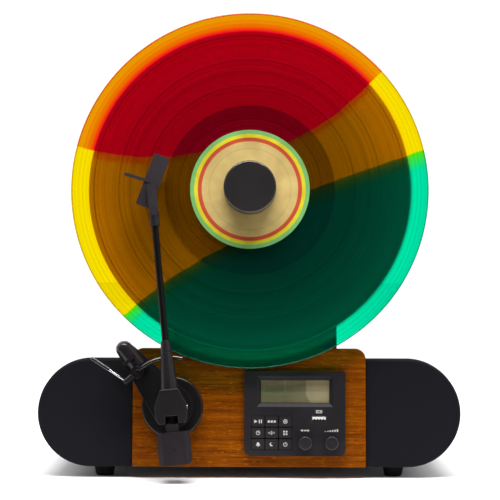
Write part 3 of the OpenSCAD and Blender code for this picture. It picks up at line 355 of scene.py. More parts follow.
SCATTER = pour((242, 4, 70), (205, 129, 4), (72, 100, 36), (4, 123, 102))
PAINTED_GLOW = {**SCATTER, "amber": rgb(228, 146, 4), "green": rgb(4, 204, 150)}
RIM_RED = rgb(242, 12, 4)
THROUGH = pour((243, 8, 134), (234, 211, 16), (186, 190, 112), (8, 180, 160))
OUTER = pour((253, 8, 132), (254, 226, 12), (190, 203, 106), (8, 150, 130))
RIM = pour((242, 182, 4), (250, 240, 4), (150, 244, 60), (6, 240, 206))
# The red clears slowly from the platter's edge to the rim
RED_CLEARING = ((0.0, rgb(242, 30, 4)), (0.6, RIM["red"]), (1.0, rgb(242, 203, 40)))
RED_CLEARS = (131.5, 147.5)

# The record's form. Radii of the lead-in, the dead wax and the gaps between the tracks are in mm
PLATTER_R = deck_box("platter")[1].x
LABEL_R = deck_box("record_label")[1].x
RECORD_R = deck_box("record")[1].x
LEAD_IN_R = 145.6
DEAD_WAX_R = 60.2
TRACK_GAPS = (131.5, 110.5, 101.0, 88.5)
# How far each of these rings darkens what is seen through it: dark lines at the gaps between tracks and at
# the dead wax, and at 131.5 mm, by the platter's edge, also a painted shadow of that edge
RING_DARKENING = 0.28
RECORD_HOLE_R = 3.65 * MM
RECORD_BACK = deck_box("record")[0].z
RECORD_FRONT = deck_box("record")[1].z

# Where the colours meet: three points of each curve, in mm from the spindle
RED_LEFT = ((-144, 36), (-84, 27), (-46, 31))
RED_RIGHT = ((34, 41), (73, 65), (111, 101))
GREEN_LEFT = ((-104, -106), (-52, -66), (-17, -47))
GREEN_RIGHT = ((146, 33), (95, 16), (50, -1))
LIME_BAND = 15
# How far the meeting lines waver, half the width they blur over, and the same for the platter's edge
WAVER = 4.0
MEETING_BLUR = 0.7
EDGE_BLUR = 2
# The tint clears, and the painted glow grows, from this far outside the dead wax to this far inside the
# platter's edge
TINT_FROM = 22
TINT_TO = 5
# Width over which the painted glow ends before the lead-in
PAINTED_GLOW_FADE = 4


def parabola(points):
    """Constant, slope and curvature of the parabola through three points."""
    (x0, y0), (x1, y1), (x2, y2) = points
    first = (y1 - y0) / (x1 - x0)
    curve = ((y2 - y1) / (x2 - x1) - first) / (x2 - x0)
    return y0 - first * x0 + curve * x0 * x1, first - curve * (x0 + x1), curve


def vinyl(name, clear_share, shine):
    """See-through vinyl poured in three colours, with pressed grooves and a painted glow over them."""
    look = Look(name, Specular_IOR_Level=shine)
    mm = look.on(DECK, PER_MM)
    x, u, _ = look.parts(mm)
    flat = look.node("CombineXYZ", x, u)
    radius = look.node("VectorMath", flat, operation="LENGTH", out=1)
    waver = look.math("MULTIPLY_ADD", look.noise(flat, 0.05, 2, 0.5), WAVER, -WAVER / 2)
    right = look.math("GREATER_THAN", x, 0.0)

    def above(left, other):
        """Height over the curve that lies on this side of the spindle."""
        heights = []
        for points in (left, other):
            constant, slope, curve = parabola(points)
            rise = look.math("MULTIPLY_ADD", x, curve, slope)
            heights.append(look.math("SUBTRACT", u, look.math("MULTIPLY_ADD", x, rise, constant)))
        return look.math("ADD", look.node("Mix", right, None, *heights), waver)

    over_red = above(RED_LEFT, RED_RIGHT)
    over_green = above(GREEN_LEFT, GREEN_RIGHT)
    red = look.span(over_red, -MEETING_BLUR, MEETING_BLUR)
    below = look.span(over_green, MEETING_BLUR, -MEETING_BLUR)
    settled = look.span(over_green, 0, -LIME_BAND)

    def poured(colours):
        cool = look.mix(settled, colours["lime"], colours["green"])
        warm = look.mix(red, colours["amber"], colours["red"])
        return look.mix(below, warm, cool)

    edge = PLATTER_R / MM
    outward = look.span(radius, DEAD_WAX_R + TINT_FROM, edge - TINT_TO)
    rim = look.span(radius, edge - EDGE_BLUR, edge + EDGE_BLUR)
    rings = look.noise(look.node("CombineXYZ", radius, 0.0, 0.0), 0.55, 3, 0.6)
    # Painted glow: a brighter scatter colour over the grooves, growing outward, for light scattered in from
    # the backlit rim
    painted_glow_share = look.math("MULTIPLY", outward, look.span(radius, LEAD_IN_R - PAINTED_GLOW_FADE, LEAD_IN_R, 1, 0))
    red_glow = look.mix(rim, SCATTER["red"], RIM_RED)
    glows = [poured({**glow, "red": red_glow}) for glow in (SCATTER, PAINTED_GLOW)]
    look.set(Base_Color=look.mix(painted_glow_share, *glows))
    look.set(Roughness=look.span(rings, 0.3, 0.7, 0.26, 0.38))
    look.set(Normal=look.bump(rings, 0.03 * MM, 0.4))
    clearing = look.ramp(look.span(radius, *RED_CLEARS), *RED_CLEARING)
    tint = look.mix(rim, look.mix(outward, poured(THROUGH), poured(OUTER)), poured({**RIM, "red": clearing}))
    shade = look.ramp(rings, (0.30, rgb(236, 236, 236)), (0.62, rgb(255, 255, 255)))
    # Dark rings at the track gaps and the dead wax; the one by the platter's edge is also painted shadow
    for gap in (*TRACK_GAPS, DEAD_WAX_R):
        beside = look.math("ABSOLUTE", look.math("SUBTRACT", radius, gap))
        shade = look.mix(look.span(beside, 0.8, 0.2, 0, RING_DARKENING), shade, rgb(120, 120, 120))
    clear = look.node("BsdfTransparent", look.mix(1.0, tint, shade, "MULTIPLY"))
    return look.over(clear, clear_share).material


# Label bands, each from the last radius out to its own, in mm
LABEL_BANDS = ((40.6, rgb(245, 214, 136)), (43.9, rgb(230, 91, 59)), (47.0, rgb(255, 241, 44)),
               (60.0, rgb(140, 215, 128)))
PRESSING_RING = 34.5
BAND_BLUR = 0.25


def label_paper(name):
    """Gold paper with printed rings, a pressed circle with painted shade in it, and faint paper grain."""
    look = Look(name, Specular_IOR_Level=0.3)
    mm = look.on(DECK, PER_MM)
    x, u, _ = look.parts(mm)
    radius = look.radius(x, u)
    grain = look.noise(mm, 1.6, 4, 0.7)
    clouds = look.noise(mm, 0.06, 2, 0.5)
    inner, colour = LABEL_BANDS[0]
    for outer, band in LABEL_BANDS[1:]:
        colour = look.mix(look.span(radius, inner - BAND_BLUR, inner + BAND_BLUR), colour, band)
        inner = outer
    worn = look.ramp(clouds, (0.3, rgb(226, 222, 214)), (0.7, rgb(255, 255, 255)))
    ring = look.span(look.math("ABSOLUTE", look.math("SUBTRACT", radius, PRESSING_RING)), 0.5, 0.0)
    paper = look.mix(1.0, colour, worn, "MULTIPLY")
    # The pressed circle is sunk by the bump and also painted darker, as shade in it
    look.set(Base_Color=look.mix(look.math("MULTIPLY", ring, 0.25), paper, rgb(120, 100, 50)))
    look.set(Roughness=look.span(grain, 0.3, 0.7, 0.5, 0.62))
    height = look.math("SUBTRACT", look.math("MULTIPLY", grain, 0.2), ring)
    return look.set(Normal=look.bump(height, 0.08 * MM, 0.5)).material


def display_glass(name):
    """Clear window with a faint smear."""
    look = Look(name, Specular_IOR_Level=0.5)
    smear = look.noise(look.on(DECK, (40, 90, 40)), 1.0, 3, 0.6, 0.5)
    look.set(Base_Color=look.ramp(smear, (0.3, rgb(60, 62, 58)), (0.7, rgb(80, 82, 76))))
    look.set(Roughness=look.span(smear, 0.3, 0.7, 0.05, 0.12))
    return look.over(look.node("BsdfTransparent", (0.93, 0.94, 0.91, 1)), 0.9).material


# Painted reflection on the display: its pale part and the streak in it, in mm from its middle
REFLECTION_FROM = 9.3
REFLECTION_SLANT = 3.5
REFLECTED_STREAK_AT = -8.5


def display_panel(name):
    """Unlit liquid-crystal panel: grey olive, with a painted reflection, paler right of a slanted edge and
    in one faint streak.
    """
    look = Look(name, Specular_IOR_Level=0.1)
    low, high = deck_box("display_module")
    middle = DECK @ Matrix.Translation((low + high) / 2)
    x, u, _ = look.parts(look.on(middle, PER_MM))
    # Painted reflection: paler right of a slanted edge, and along one streak
    edge = look.span(u, -2.5, -9.5, REFLECTION_FROM, REFLECTION_FROM + REFLECTION_SLANT)
    pale = look.span(look.math("SUBTRACT", x, edge), -1.0, 1.0, smooth=True)
    beside = look.math("ABSOLUTE", look.math("SUBTRACT", x, REFLECTED_STREAK_AT))
    reflected_streak = look.math("MULTIPLY", look.span(beside, 1.4, 0.2), look.span(u, -4.5, 1.0, 0.0, 0.3))
    sheen = look.noise(look.on(middle, (90, 30, 30)), 1.0, 2, 0.5)
    ground = look.ramp(sheen, (0.3, rgb(134, 127, 97)), (0.7, rgb(144, 136, 106)))
    painted_reflection = look.ramp(sheen, (0.3, rgb(180, 163, 129)), (0.7, rgb(188, 172, 140)))
    look.set(Base_Color=look.mix(look.math("MAXIMUM", pale, reflected_streak), ground, painted_reflection))
    look.set(Roughness=look.span(sheen, 0.3, 0.7, 0.4, 0.55))
    return look.set(Normal=look.bump(sheen, 0.01 * MM, 0.2)).material


def print_ink(name, colour):
    """Screen-printed ink, a little uneven."""
    look = Look(name, Specular_IOR_Level=0.25)
    body = look.noise(look.place(), 2400, 2, 0.6)
    thin = scaled(colour, 0.8)
    look.set(Base_Color=look.ramp(body, (0.3, thin), (0.6, colour)))
    return look.set(Roughness=look.span(body, 0.3, 0.7, 0.5, 0.7)).material


RIB_PITCH = 3.0


def mat_rubber(name, colour):
    """Ribbed mat: dust-grey rubber, with painted shade in its grooves."""
    look = Look(name, Specular_IOR_Level=0.05)
    x, u, _ = look.parts(look.on(DECK, PER_MM))
    radius = look.radius(x, u)
    ribs = look.math("ABSOLUTE", look.math("SINE", look.math("MULTIPLY", radius, math.pi / RIB_PITCH)))
    dust = look.noise(look.place(), 300, 3, 0.6)
    # The grooves between the ribs are painted darker, as shade in them
    dark = scaled(colour, 0.7)
    tone = look.math("MULTIPLY_ADD", dust, 0.4, look.math("MULTIPLY", ribs, 0.6))
    look.set(Base_Color=look.ramp(tone, (0.1, dark), (0.7, colour)))
    look.set(Roughness=look.span(dust, 0.3, 0.7, 0.75, 0.9))
    return look.set(Normal=look.bump(ribs, 0.15 * MM, 0.5)).material


looks = {
    "lacquer": lacquer("lacquer_look", rgb(30, 28, 28)),
    "panel_wood": wood("panel_wood_look", rgb(96, 41, 0), rgb(150, 79, 3), 0.42),
    "board": fibreboard("board_look", rgb(40, 36, 32)),
    "cloth": cloth("cloth_look", rgb(31, 30, 35)),
    "black_plastic": moulded("black_plastic_look", rgb(24, 23, 25), 0.5),
    "arm_plastic": moulded("arm_plastic_look", rgb(30, 27, 28), 0.36, 0.35),
    "platter_plastic": moulded("platter_plastic_look", rgb(196, 196, 198), 0.45, drift=0.04),
    "fascia_plastic": moulded("fascia_plastic_look", rgb(34, 31, 34), 0.5, 0.18),
    "key_plastic": moulded("key_plastic_look", rgb(42, 39, 41), 0.55),
    "knob_plastic": moulded("knob_plastic_look", rgb(36, 33, 35), 0.3, 0.45),
    "gloss_black": moulded("gloss_black_look", rgb(43, 39, 40), 0.26, 0.25),
    "rubber": rubber("rubber_look", rgb(16, 16, 16)),
    "mat_rubber": mat_rubber("mat_rubber_look", rgb(94, 94, 94)),
    "driver": rubber("driver_look", rgb(30, 30, 31)),
    "circuit": circuit("circuit_look"),
    "plated_metal": metal("plated_metal_look", rgb(178, 178, 180), 0.3),
    "polished_steel": metal("polished_steel_look", rgb(226, 226, 228), 0.14),
    "bronze": metal("bronze_look", rgb(176, 132, 74), 0.32),
    "tube_metal": moulded("tube_metal_look", rgb(14, 11, 10), 0.35, 0.2),
    "weight_metal": moulded("weight_metal_look", rgb(38, 34, 37), 0.5),
    "vinyl": vinyl("vinyl_look", 0.9, 0.1),
    "label_paper": label_paper("label_paper_look"),
    "stylus_red": moulded("stylus_red_look", rgb(150, 22, 20), 0.4, 0.3),
    "window": display_glass("window_look"),
    "display": display_panel("display_look"),
}
ink = print_ink("ink_look", rgb(214, 212, 208))
white_plastic = moulded("white_plastic_look", rgb(240, 238, 234), 0.45)
rim_vinyl = vinyl("rim_vinyl_look", 0.6, 1.0)
# Nodes that look unlike the rest of their material slot
own_looks = {
    "tonearm_base": moulded("tonearm_base_look", rgb(18, 16, 16), 0.32, 0.4),
    "arm_bracket": moulded("arm_bracket_look", rgb(22, 20, 20), 0.4, 0.25),
    "headshell": moulded("headshell_look", rgb(60, 54, 58), 0.4, 0.3),
    "tube_collar": moulded("tube_collar_look", rgb(40, 36, 38), 0.4, 0.25),
    "lift_bar": metal("lift_bar_look", rgb(108, 105, 106), 0.18),
    "lever_grip": moulded("lever_grip_look", rgb(26, 24, 25), 0.18, 0.8),
    "record_clamp": moulded("record_clamp_look", rgb(42, 38, 39), 0.24, 1.0),
    "arm_rest": moulded("arm_rest_look", rgb(38, 34, 36), 0.14, 0.22),
}


# Meshes


SMOOTH_ANGLE = math.radians(35)


def finish_mesh(bm, name):
    """Turns a bmesh into a mesh that shades smooth between its sharp edges."""
    bmesh.ops.recalc_face_normals(bm, faces=bm.faces)
    for edge in bm.edges:
        edge.smooth = len(edge.link_faces) == 2 and edge.calc_face_angle() < SMOOTH_ANGLE
    for face in bm.faces:
        face.smooth = True
    mesh = bpy.data.meshes.new(name)
    bm.to_mesh(mesh)
    bm.free()
    return mesh


def add_piece(name, mesh, body, slot, look=None):
    piece = bpy.data.objects.new(name, mesh)
    scene.collection.objects.link(piece)
    mesh.materials.append(look or looks[slot])
    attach(piece, body)
    return piece


def lathe(name, profile, place, segments, closed=False):
    """Turns a profile of (radius, height) points about a spot's outward axis."""
    bm = bmesh.new()
    turns = [2 * math.pi * k / segments for k in range(segments)]
    rings = []
    for radius, height in profile:
        spots = [Vector((radius * math.cos(t), radius * math.sin(t), height)) for t in turns]
        rings.append([bm.verts.new(place @ spot) for spot in (spots if radius else spots[:1])])
    following = rings[1:] + (rings[:1] if closed else [])
    for ring, other in zip(rings, following):
        for k in range(segments):
            corners = [(ring, k), (ring, k + 1), (other, k + 1), (other, k)]
            bm.faces.new(dict.fromkeys(side[i % len(side)] for side, i in corners))
    return finish_mesh(bm, name)


# Shortest edge that is rounded, as a share of the rounding's width, and steps across a rounding
SHORTEST_SHARE = 0.6
ROUNDING_STEPS = 3
# Points closer than this are one, faces flatter than this are one, and edges sharper than this are rounded
MERGE_GAP = 0.002 * MM
FLAT_ANGLE = math.radians(0.6)
SHARP_ANGLE = math.radians(28)


def soften(node, width, shortest, held):
    """Stands in for a CAD node: the same shape, with its sharp outer edges rounded except the shortest."""
    bm = bmesh.new()
    bm.from_mesh(nodes[node].data)
    bmesh.ops.remove_doubles(bm, verts=bm.verts, dist=MERGE_GAP)
    bmesh.ops.dissolve_limit(bm, angle_limit=FLAT_ANGLE, verts=bm.verts, edges=bm.edges)
    outer = [e for e in bm.edges if len(e.link_faces) == 2 and e.calc_length() > shortest
             and e.calc_face_angle_signed() > SHARP_ANGLE]
    bmesh.ops.bevel(
        bm, geom=outer, offset=width, offset_type="OFFSET", segments=ROUNDING_STEPS, profile=0.5,
        affect="EDGES", clamp_overlap=held,
    )
    slot = nodes[node].material_slots[0].material.name
    mesh = finish_mesh(bm, node + "_soft")
    piece = add_piece(node + "_soft", mesh, nodes[node]["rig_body"], slot, own_looks.get(node))
    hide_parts(node)
    flat = piece.modifiers.new("flat_faces", "WEIGHTED_NORMAL")
    flat.keep_sharp = True


# Record: rounded rim, lead-in, bands of grooves with gaps between them, and the dead wax

# Sizes in mm. Clearance of the disc's back over the mat, width of the rim and its gap to the disc
BACK_LIFT = 0.06
RIM_BEAD = 1.1
RIM_GAP = 0.02
# How far in from the edge and from the face each point of the rim's curve lies, and where the flat edge ends
RIM_CURVE = ((0.5, 0.1), (0.15, 0.4), (0.0, 0.9))
RIM_FLAT = 3.6
# Depth of the grooved face, and of the lead-in and the dead wax under it
GROOVES_SINK = 0.12
LEAD_IN_SINK = 0.1
WAX_SINK = 0.08
GROOVE_W = 0.8
GROOVE_SLOPE = 0.4
# Rise of a gap between tracks, and half its width at its top and its foot
GAP_RISE = 0.07
GAP_TOP = 0.45
GAP_FOOT = 0.8
# Ends of the slope from the grooved face up to the label, outside the label's edge
LABEL_SLOPE = (1.4, 0.8)
DISC_STEPS = 256


def groove(radius, level, sink):
    """Floor of a groove from its outer edge inward, and the slope back up."""
    inner = radius - GROOVE_W
    return [(radius, level - sink), (inner, level - sink), (inner - GROOVE_SLOPE, level)]


def track_gap(radius, level):
    """Low ridge between two tracks."""
    top = level + GAP_RISE
    rise = [(radius + GAP_FOOT, level), (radius + GAP_TOP, top)]
    return rise + [(radius - GAP_TOP, top), (radius - GAP_FOOT, level)]


def add_record():
    back, front = RECORD_BACK / MM + BACK_LIFT, RECORD_FRONT / MM
    outer, hole, label = RECORD_R / MM, RECORD_HOLE_R / MM, LABEL_R / MM
    sunk = front - GROOVES_SINK
    bead = outer - RIM_BEAD
    disc = [(hole, back), (bead - RIM_GAP, back), (bead - RIM_GAP, front), (outer - RIM_FLAT, front)]
    disc += groove(LEAD_IN_R, sunk, LEAD_IN_SINK)
    for gap in TRACK_GAPS:
        disc += track_gap(gap, sunk)
    disc += [(DEAD_WAX_R + GROOVE_SLOPE, sunk), *groove(DEAD_WAX_R, sunk, WAX_SINK)]
    disc += [(label + LABEL_SLOPE[0], sunk), (label + LABEL_SLOPE[1], front), (hole, front)]
    rim = [(bead, front), (bead, back)]
    rim += [(outer - inward, back + over) for inward, over in RIM_CURVE]
    rim += [(outer - inward, front - over) for inward, over in reversed(RIM_CURVE)]
    for name, outline, look in (("vinyl_disc", disc, None), ("vinyl_rim", rim, rim_vinyl)):
        profile = [(radius * MM, height * MM) for radius, height in outline]
        mesh = lathe(name, profile, DECK, DISC_STEPS, closed=True)
        piece = add_piece(name, mesh, "turntable", "vinyl", look)
        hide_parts("record")


# Printed marks: plain pictograms in mm about the middle of their key, each made of simple outlines

ARC_STEPS = 20
PRINT_T = 0.05 * MM


def bar(x0, u0, x1, u1):
    return [(x0, u0), (x1, u0), (x1, u1), (x0, u1)]


def arc(x, u, radius, start, stop, steps=ARC_STEPS):
    """Points of an arc between two angles, in degrees from the right."""
    turns = [math.radians(start + (stop - start) * k / steps) for k in range(steps + 1)]
    return [(x + radius * math.cos(t), u + radius * math.sin(t)) for t in turns]


def band(x, u, inner, outer, start, stop):
    """Part of a ring between two angles."""
    return arc(x, u, outer, start, stop) + arc(x, u, inner, start, stop)[::-1]


def ring(x, u, inner, outer):
    return [band(x, u, inner, outer, 0, 180), band(x, u, inner, outer, 180, 360)]


def dot(x, u, radius):
    return arc(x, u, radius, 0, 360)[:-1]


def frame_of(x0, u0, x1, u1, line):
    """Four bars round a rectangle."""
    return [bar(x0, u0, x1, u0 + line), bar(x0, u1 - line, x1, u1), bar(x0, u0 + line, x0 + line, u1 - line),
            bar(x1 - line, u0 + line, x1, u1 - line)]


PICTOGRAMS = {
    "play_key": [[(-2.6, -1.2), (-0.4, 0), (-2.6, 1.2)], bar(0.5, -1.2, 1.2, 1.2), bar(1.9, -1.2, 2.6, 1.2)],
    "preset_key": [bar(-2.7, -0.7, -1.3, 0.7), bar(-0.7, -0.7, 0.7, 0.7), bar(1.3, -0.7, 2.7, 0.7)],
    "select_key": ring(0, 0, 1.0, 1.4) + [dot(0, 0, 0.55)],
    "timer_key": ring(0, 0, 1.05, 1.4) + [bar(-0.15, -0.1, 0.15, 0.9), bar(0.15, -0.1, 0.75, 0.2)],
    "band_key": [bar(-2.4, -0.3, -2.0, 0.3), bar(-1.4, -0.8, -1.0, 0.8), bar(-0.4, -1.3, 0.0, 1.3),
                 bar(0.6, -0.8, 1.0, 0.8), bar(1.6, -0.3, 2.0, 0.3)],
    "mode_key": [bar(x, u, x + 1.1, u + 1.1) for x in (-1.4, 0.3) for u in (-1.4, 0.3)],
    "alarm_key": [[(-1.6, -0.9), (1.6, -0.9), (1.0, -0.3), (0.9, 0.7), (0.3, 1.3), (-0.3, 1.3), (-0.9, 0.7),
                   (-1.0, -0.3)], bar(-0.4, -1.5, 0.4, -1.1)],
    "sleep_key": [arc(0, 0, 1.3, 30, 285, 17) + arc(0.55, 0.3, 1.05, 285, 60, 15)],
    "power_key": [band(0, 0, 1.0, 1.4, 125, 415), bar(-0.2, 0.2, 0.2, 1.5)],
}
# Marks over the knobs and the socket, in mm about the middle of the piece below
TUNE_MARK = [
    [(-3.9, 10.4), (-1.9, 9.3), (-1.9, 11.5)],
    bar(-1.3, 9.9, 1.3, 10.9),
    [(3.9, 10.4), (1.9, 11.5), (1.9, 9.3)],
]
VOLUME_MARK = [bar(-5.6 + 2 * k, 9.4, -4.4 + 2 * k, 9.9 + 0.32 * k) for k in range(6)]
SOCKET_MARK = frame_of(-2.6, 4.7, 2.6, 7.1, 0.5) + [bar(-1.5, 5.8, -0.6, 6.4), bar(0.6, 5.8, 1.5, 6.4)]
PICTOGRAM_SCALE = 1.25


def print_marks(name, outlines, x, u, n, body, size=1.0):
    """Lays flat outlines of ink on a face of the deck."""
    bm = bmesh.new()
    for outline in outlines:
        levels = []
        for height in (n, n + PRINT_T):
            spots = [DECK @ Vector((x + px * size * MM, u + pu * size * MM, height)) for px, pu in outline]
            levels.append([bm.verts.new(spot) for spot in spots])
        low, high = levels
        bm.faces.new(high)
        bm.faces.new(low[::-1])
        for k in range(len(low)):
            after = (k + 1) % len(low)
            bm.faces.new((low[k], low[after], high[after], high[k]))
    add_piece(name, finish_mesh(bm, name), body, "key_plastic", ink)


def add_marks():
    for key, outlines in PICTOGRAMS.items():
        low, high = deck_box(key)
        print_marks(key + "_mark", outlines, (low.x + high.x) / 2, (low.y + high.y) / 2, high.z,
                    nodes[key]["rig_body"], PICTOGRAM_SCALE)
    face = deck_box("control_fascia")[1].z
    marks = {"tune_knob": TUNE_MARK, "volume_knob": VOLUME_MARK, "usb_socket": SOCKET_MARK}
    for below, outlines in marks.items():
        low, high = deck_box(below)
        print_marks(below + "_mark", outlines, (low.x + high.x) / 2, (low.y + high.y) / 2, face, "cabinet")


# USB socket's white tongue, with four black boxes under it at the contacts' places: painted shade of the
# notches there

TONGUE = (11.3 * MM, 2.7 * MM)
TONGUE_LIFT = 0.5 * MM
TONGUE_SINK = 0.3 * MM
CONTACT = (1.3 * MM, 1.5 * MM)
CONTACT_X = (-3.6, -1.2, 1.2, 3.6)
TONGUE_LENGTH = 6 * MM
CONTACT_LENGTH = 5 * MM
CONTACT_PROUD = 0.1 * MM
BOX_EDGE = 0.12 * MM


def box_mesh(bm, low, high):
    """Adds a box between two corners on the deck, with softened edges."""
    made = bmesh.ops.create_cube(bm, size=1)
    middle = (low + high) / 2
    for vert in made["verts"]:
        vert.co = DECK @ (middle + Vector([c * s for c, s in zip(vert.co, high - low)]))
    edges = {edge for vert in made["verts"] for edge in vert.link_edges}
    bmesh.ops.bevel(bm, geom=list(edges), offset=BOX_EDGE, segments=2, profile=0.5, affect="EDGES")


def add_tongue():
    low, high = deck_box("usb_socket")
    x, u = (low.x + high.x) / 2, (low.y + high.y) / 2 + TONGUE_LIFT
    front = high.z - TONGUE_SINK
    tongue = bmesh.new()
    box_mesh(tongue, Vector((x - TONGUE[0] / 2, u - TONGUE[1] / 2, front - TONGUE_LENGTH)),
             Vector((x + TONGUE[0] / 2, u + TONGUE[1] / 2, front)))
    add_piece("usb_tongue", finish_mesh(tongue, "usb_tongue"), "cabinet", "plated_metal", white_plastic)
    # Black boxes at the contacts: painted shade of the dark notches under the tongue
    contact_shade = bmesh.new()
    under = u - TONGUE[1] / 2
    for place in CONTACT_X:
        left = x + place * MM - CONTACT[0] / 2
        box_mesh(contact_shade, Vector((left, under - CONTACT[1] / 2, front - CONTACT_LENGTH)),
                 Vector((left + CONTACT[0], under + CONTACT[1] / 2, front + CONTACT_PROUD)))
    mesh = finish_mesh(contact_shade, "usb_contact_shade")
    add_piece("usb_contact_shade", mesh, "cabinet", "plated_metal", looks["black_plastic"])


# Set screw in the counterweight's hole, with a recessed middle

# Its socket as a share of its radius, and how deep the screw sits, the socket goes and the screw reaches
SCREW_SOCKET = 0.55
SCREW_SINK = 0.15 * MM
SOCKET_DEPTH = 3 * SCREW_SINK
SCREW_DEPTH = 1.2 * MM
SCREW_GAP = 0.03 * MM
SCREW_STEPS = 32
# The hole's points are the ones on the weight's face this near to its middle
HOLE_REACH = 4 * MM


def add_set_screw():
    low, high = deck_box("counterweight")
    flat = DECK.inverted()
    face = [flat @ v.co for v in nodes["counterweight"].data.vertices]
    across = (low.x + high.x) / 2
    near = [p for p in face if high.z - p.z < SCREW_SINK and abs(p.x - across) < HOLE_REACH]
    middle = sum(near, Vector()) / len(near)
    radius = min((p - middle).length for p in near) - SCREW_GAP
    socket = radius * SCREW_SOCKET
    top, base = -SCREW_SINK, -SCREW_SINK - SCREW_DEPTH
    floor = top - SOCKET_DEPTH
    profile = [(0, floor), (socket, floor), (socket, top), (radius, top), (radius, base)]
    place = DECK @ Matrix.Translation((middle.x, middle.y, high.z))
    mesh = lathe("weight_screw", profile, place, SCREW_STEPS)
    add_piece("weight_screw", mesh, nodes["counterweight"]["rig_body"], "weight_metal")


# Colour rings round the two line sockets at the back, as such sockets have

SOCKET_RINGS = {
    "line_out_a": moulded("white_ring_look", rgb(214, 212, 208), 0.4, 0.3),
    "line_out_b": moulded("red_ring_look", rgb(168, 24, 20), 0.4, 0.3),
}
RING_W = 1.9 * MM
RING_T = 1.2 * MM
RING_EDGE = 0.3 * MM
RING_STEPS = 48


def add_socket_rings():
    for mount in frame["record"]["mounts"]:
        if mount["name"] not in SOCKET_RINGS:
            continue
        out = Vector(mount["axis"])
        foot = Vector(mount["pos_m"]) - out * mount["dims"]["length_mm"] * MM / 2
        place = Matrix.Translation(foot) @ out.to_track_quat("Z", "Y").to_matrix().to_4x4()
        inner = mount["dims"]["r_mm"] * MM + RING_EDGE / 3
        outer = inner + RING_W
        profile = [(inner, 0), (outer, 0), (outer, RING_T - RING_EDGE)]
        profile += [(outer - RING_EDGE, RING_T), (inner, RING_T)]
        name = mount["name"] + "_ring"
        mesh = lathe(name, profile, place, RING_STEPS, closed=True)
        add_piece(name, mesh, "cabinet", "black_plastic", SOCKET_RINGS[mount["name"]])


# Stage: pale floor, white surroundings and soft lights

FLOOR_SIZE = 9.0
FLOOR_CELLS = 12
# Front edge of the white table, just ahead of the part
FLOOR_FRONT = -0.235
SKY = 1.25
# How much brighter the sky is overhead, and over which rise it brightens
OVERHEAD = 1.7
RISE = (0.25, 0.7)
DARK_ROOM = 0.09
# How far toward the camera's side the room is dark, and from where the sky is white
ROOM_TO = -0.18
SKY_FROM = -0.05


def add_stage():
    look = Look("floor_look", Specular_IOR_Level=0.1)
    mottle = look.noise(look.place(), 3, 3, 0.5)
    look.set(Base_Color=look.ramp(mottle, (0.3, rgb(244, 244, 245)), (0.7, rgb(247, 247, 248))))
    look.set(Roughness=look.span(mottle, 0.3, 0.7, 0.7, 0.8))
    bm = bmesh.new()
    middle = Matrix.Translation((0, FLOOR_FRONT + FLOOR_SIZE / 2, 0))
    bmesh.ops.create_grid(
        bm, x_segments=FLOOR_CELLS, y_segments=FLOOR_CELLS, size=FLOOR_SIZE / 2, matrix=middle,
    )
    mesh = finish_mesh(bm, "floor")
    mesh.materials.append(look.material)
    floor = bpy.data.objects.new("floor", mesh)
    scene.collection.objects.link(floor)


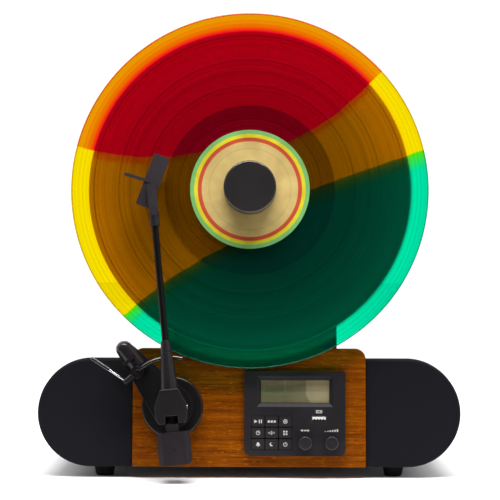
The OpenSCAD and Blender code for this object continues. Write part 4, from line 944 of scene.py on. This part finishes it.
def add_sky():
    """White all round and above, and a dim room on the camera's side."""
    world = bpy.data.worlds.new("surroundings")
    world.use_nodes = True
    scene.world = world
    tree = world.node_tree
    direction = tree.nodes.new("ShaderNodeTexCoord").outputs["Generated"]
    parts = tree.nodes.new("ShaderNodeSeparateXYZ")
    tree.links.new(direction, parts.inputs[0])
    light = tree.nodes.new("ShaderNodeMath")
    light.operation = "MULTIPLY"
    ranges = (("Y", (ROOM_TO, SKY_FROM, DARK_ROOM, SKY)), ("Z", (*RISE, 1.0, OVERHEAD)))
    for (axis, limits), factor in zip(ranges, light.inputs):
        fade = tree.nodes.new("ShaderNodeMapRange")
        tree.links.new(parts.outputs[axis], fade.inputs["Value"])
        for name, value in zip(("From Min", "From Max", "To Min", "To Max"), limits):
            fade.inputs[name].default_value = value
        tree.links.new(fade.outputs[0], factor)
    tree.links.new(light.outputs[0], tree.nodes["Background"].inputs["Strength"])
    tree.nodes["Background"].inputs["Color"].default_value = (1, 1, 1, 1)


# Place, width, depth and power of each softbox
SOFTBOXES = {
    "key_light": ((0, -0.75, 2.35), 2.2, 0.5, 84),
    "fill_light": ((1.3, -1.5, 0.7), 0.9, 0.9, 3),
}
LIT_SPOT = Vector((0, -0.05, 0.2))


def add_lights():
    for name, (spot, width, depth, watts) in SOFTBOXES.items():
        data = bpy.data.lights.new(name, "AREA")
        data.shape = "RECTANGLE"
        data.size = width
        data.size_y = depth
        data.energy = watts
        light = bpy.data.objects.new(name, data)
        light.location = spot
        light.rotation_euler = (LIT_SPOT - Vector(spot)).to_track_quat("-Z", "Y").to_euler()
        scene.collection.objects.link(light)


def dress_nodes():
    """Gives each CAD node its own look, or that of its material slot."""
    for name, node in nodes.items():
        for slot in node.material_slots:
            slot.material = own_looks.get(name) or looks[slot.material.name]


SOFT_EDGES = {
    "front_panel": 0.7, "cabinet_shell": 0.2, "tower_shell": 1.2, "control_fascia": 0.5, "tonearm_base": 0.8,
    "arm_bracket": 0.4, "arm_housing": 0.7, "counterweight": 0.7, "headshell": 0.35, "record_clamp": 2.0,
    "tune_knob": 0.3, "volume_knob": 0.3, "back_cover": 0.6, "tower_cover": 0.5, "cartridge": 0.3,
    "lift_bar": 1.35, "lift_housing": 0.4, "arm_sleeve": 0.25, "tube_collar": 0.2,
    **{key: 0.3 for key in PICTOGRAMS},
}

# Pieces whose short end edges must not hold back the rounding of the long ones
FREELY_ROUNDED = ("lift_bar", "arm_housing")
# Round pieces whose edge is made of short steps, all of which are rounded
FINELY_STEPPED = ("record_clamp",)

add_camera()
add_stage()
add_sky()
add_lights()
for soft_node, edge in SOFT_EDGES.items():
    shortest = 0 if soft_node in FINELY_STEPPED else SHORTEST_SHARE * edge * MM
    soften(soft_node, edge * MM, shortest, held=soft_node not in FREELY_ROUNDED)
add_record()
add_marks()
add_tongue()
add_set_screw()
add_socket_rings()
dress_nodes()

scene.view_settings.view_transform = "Standard"
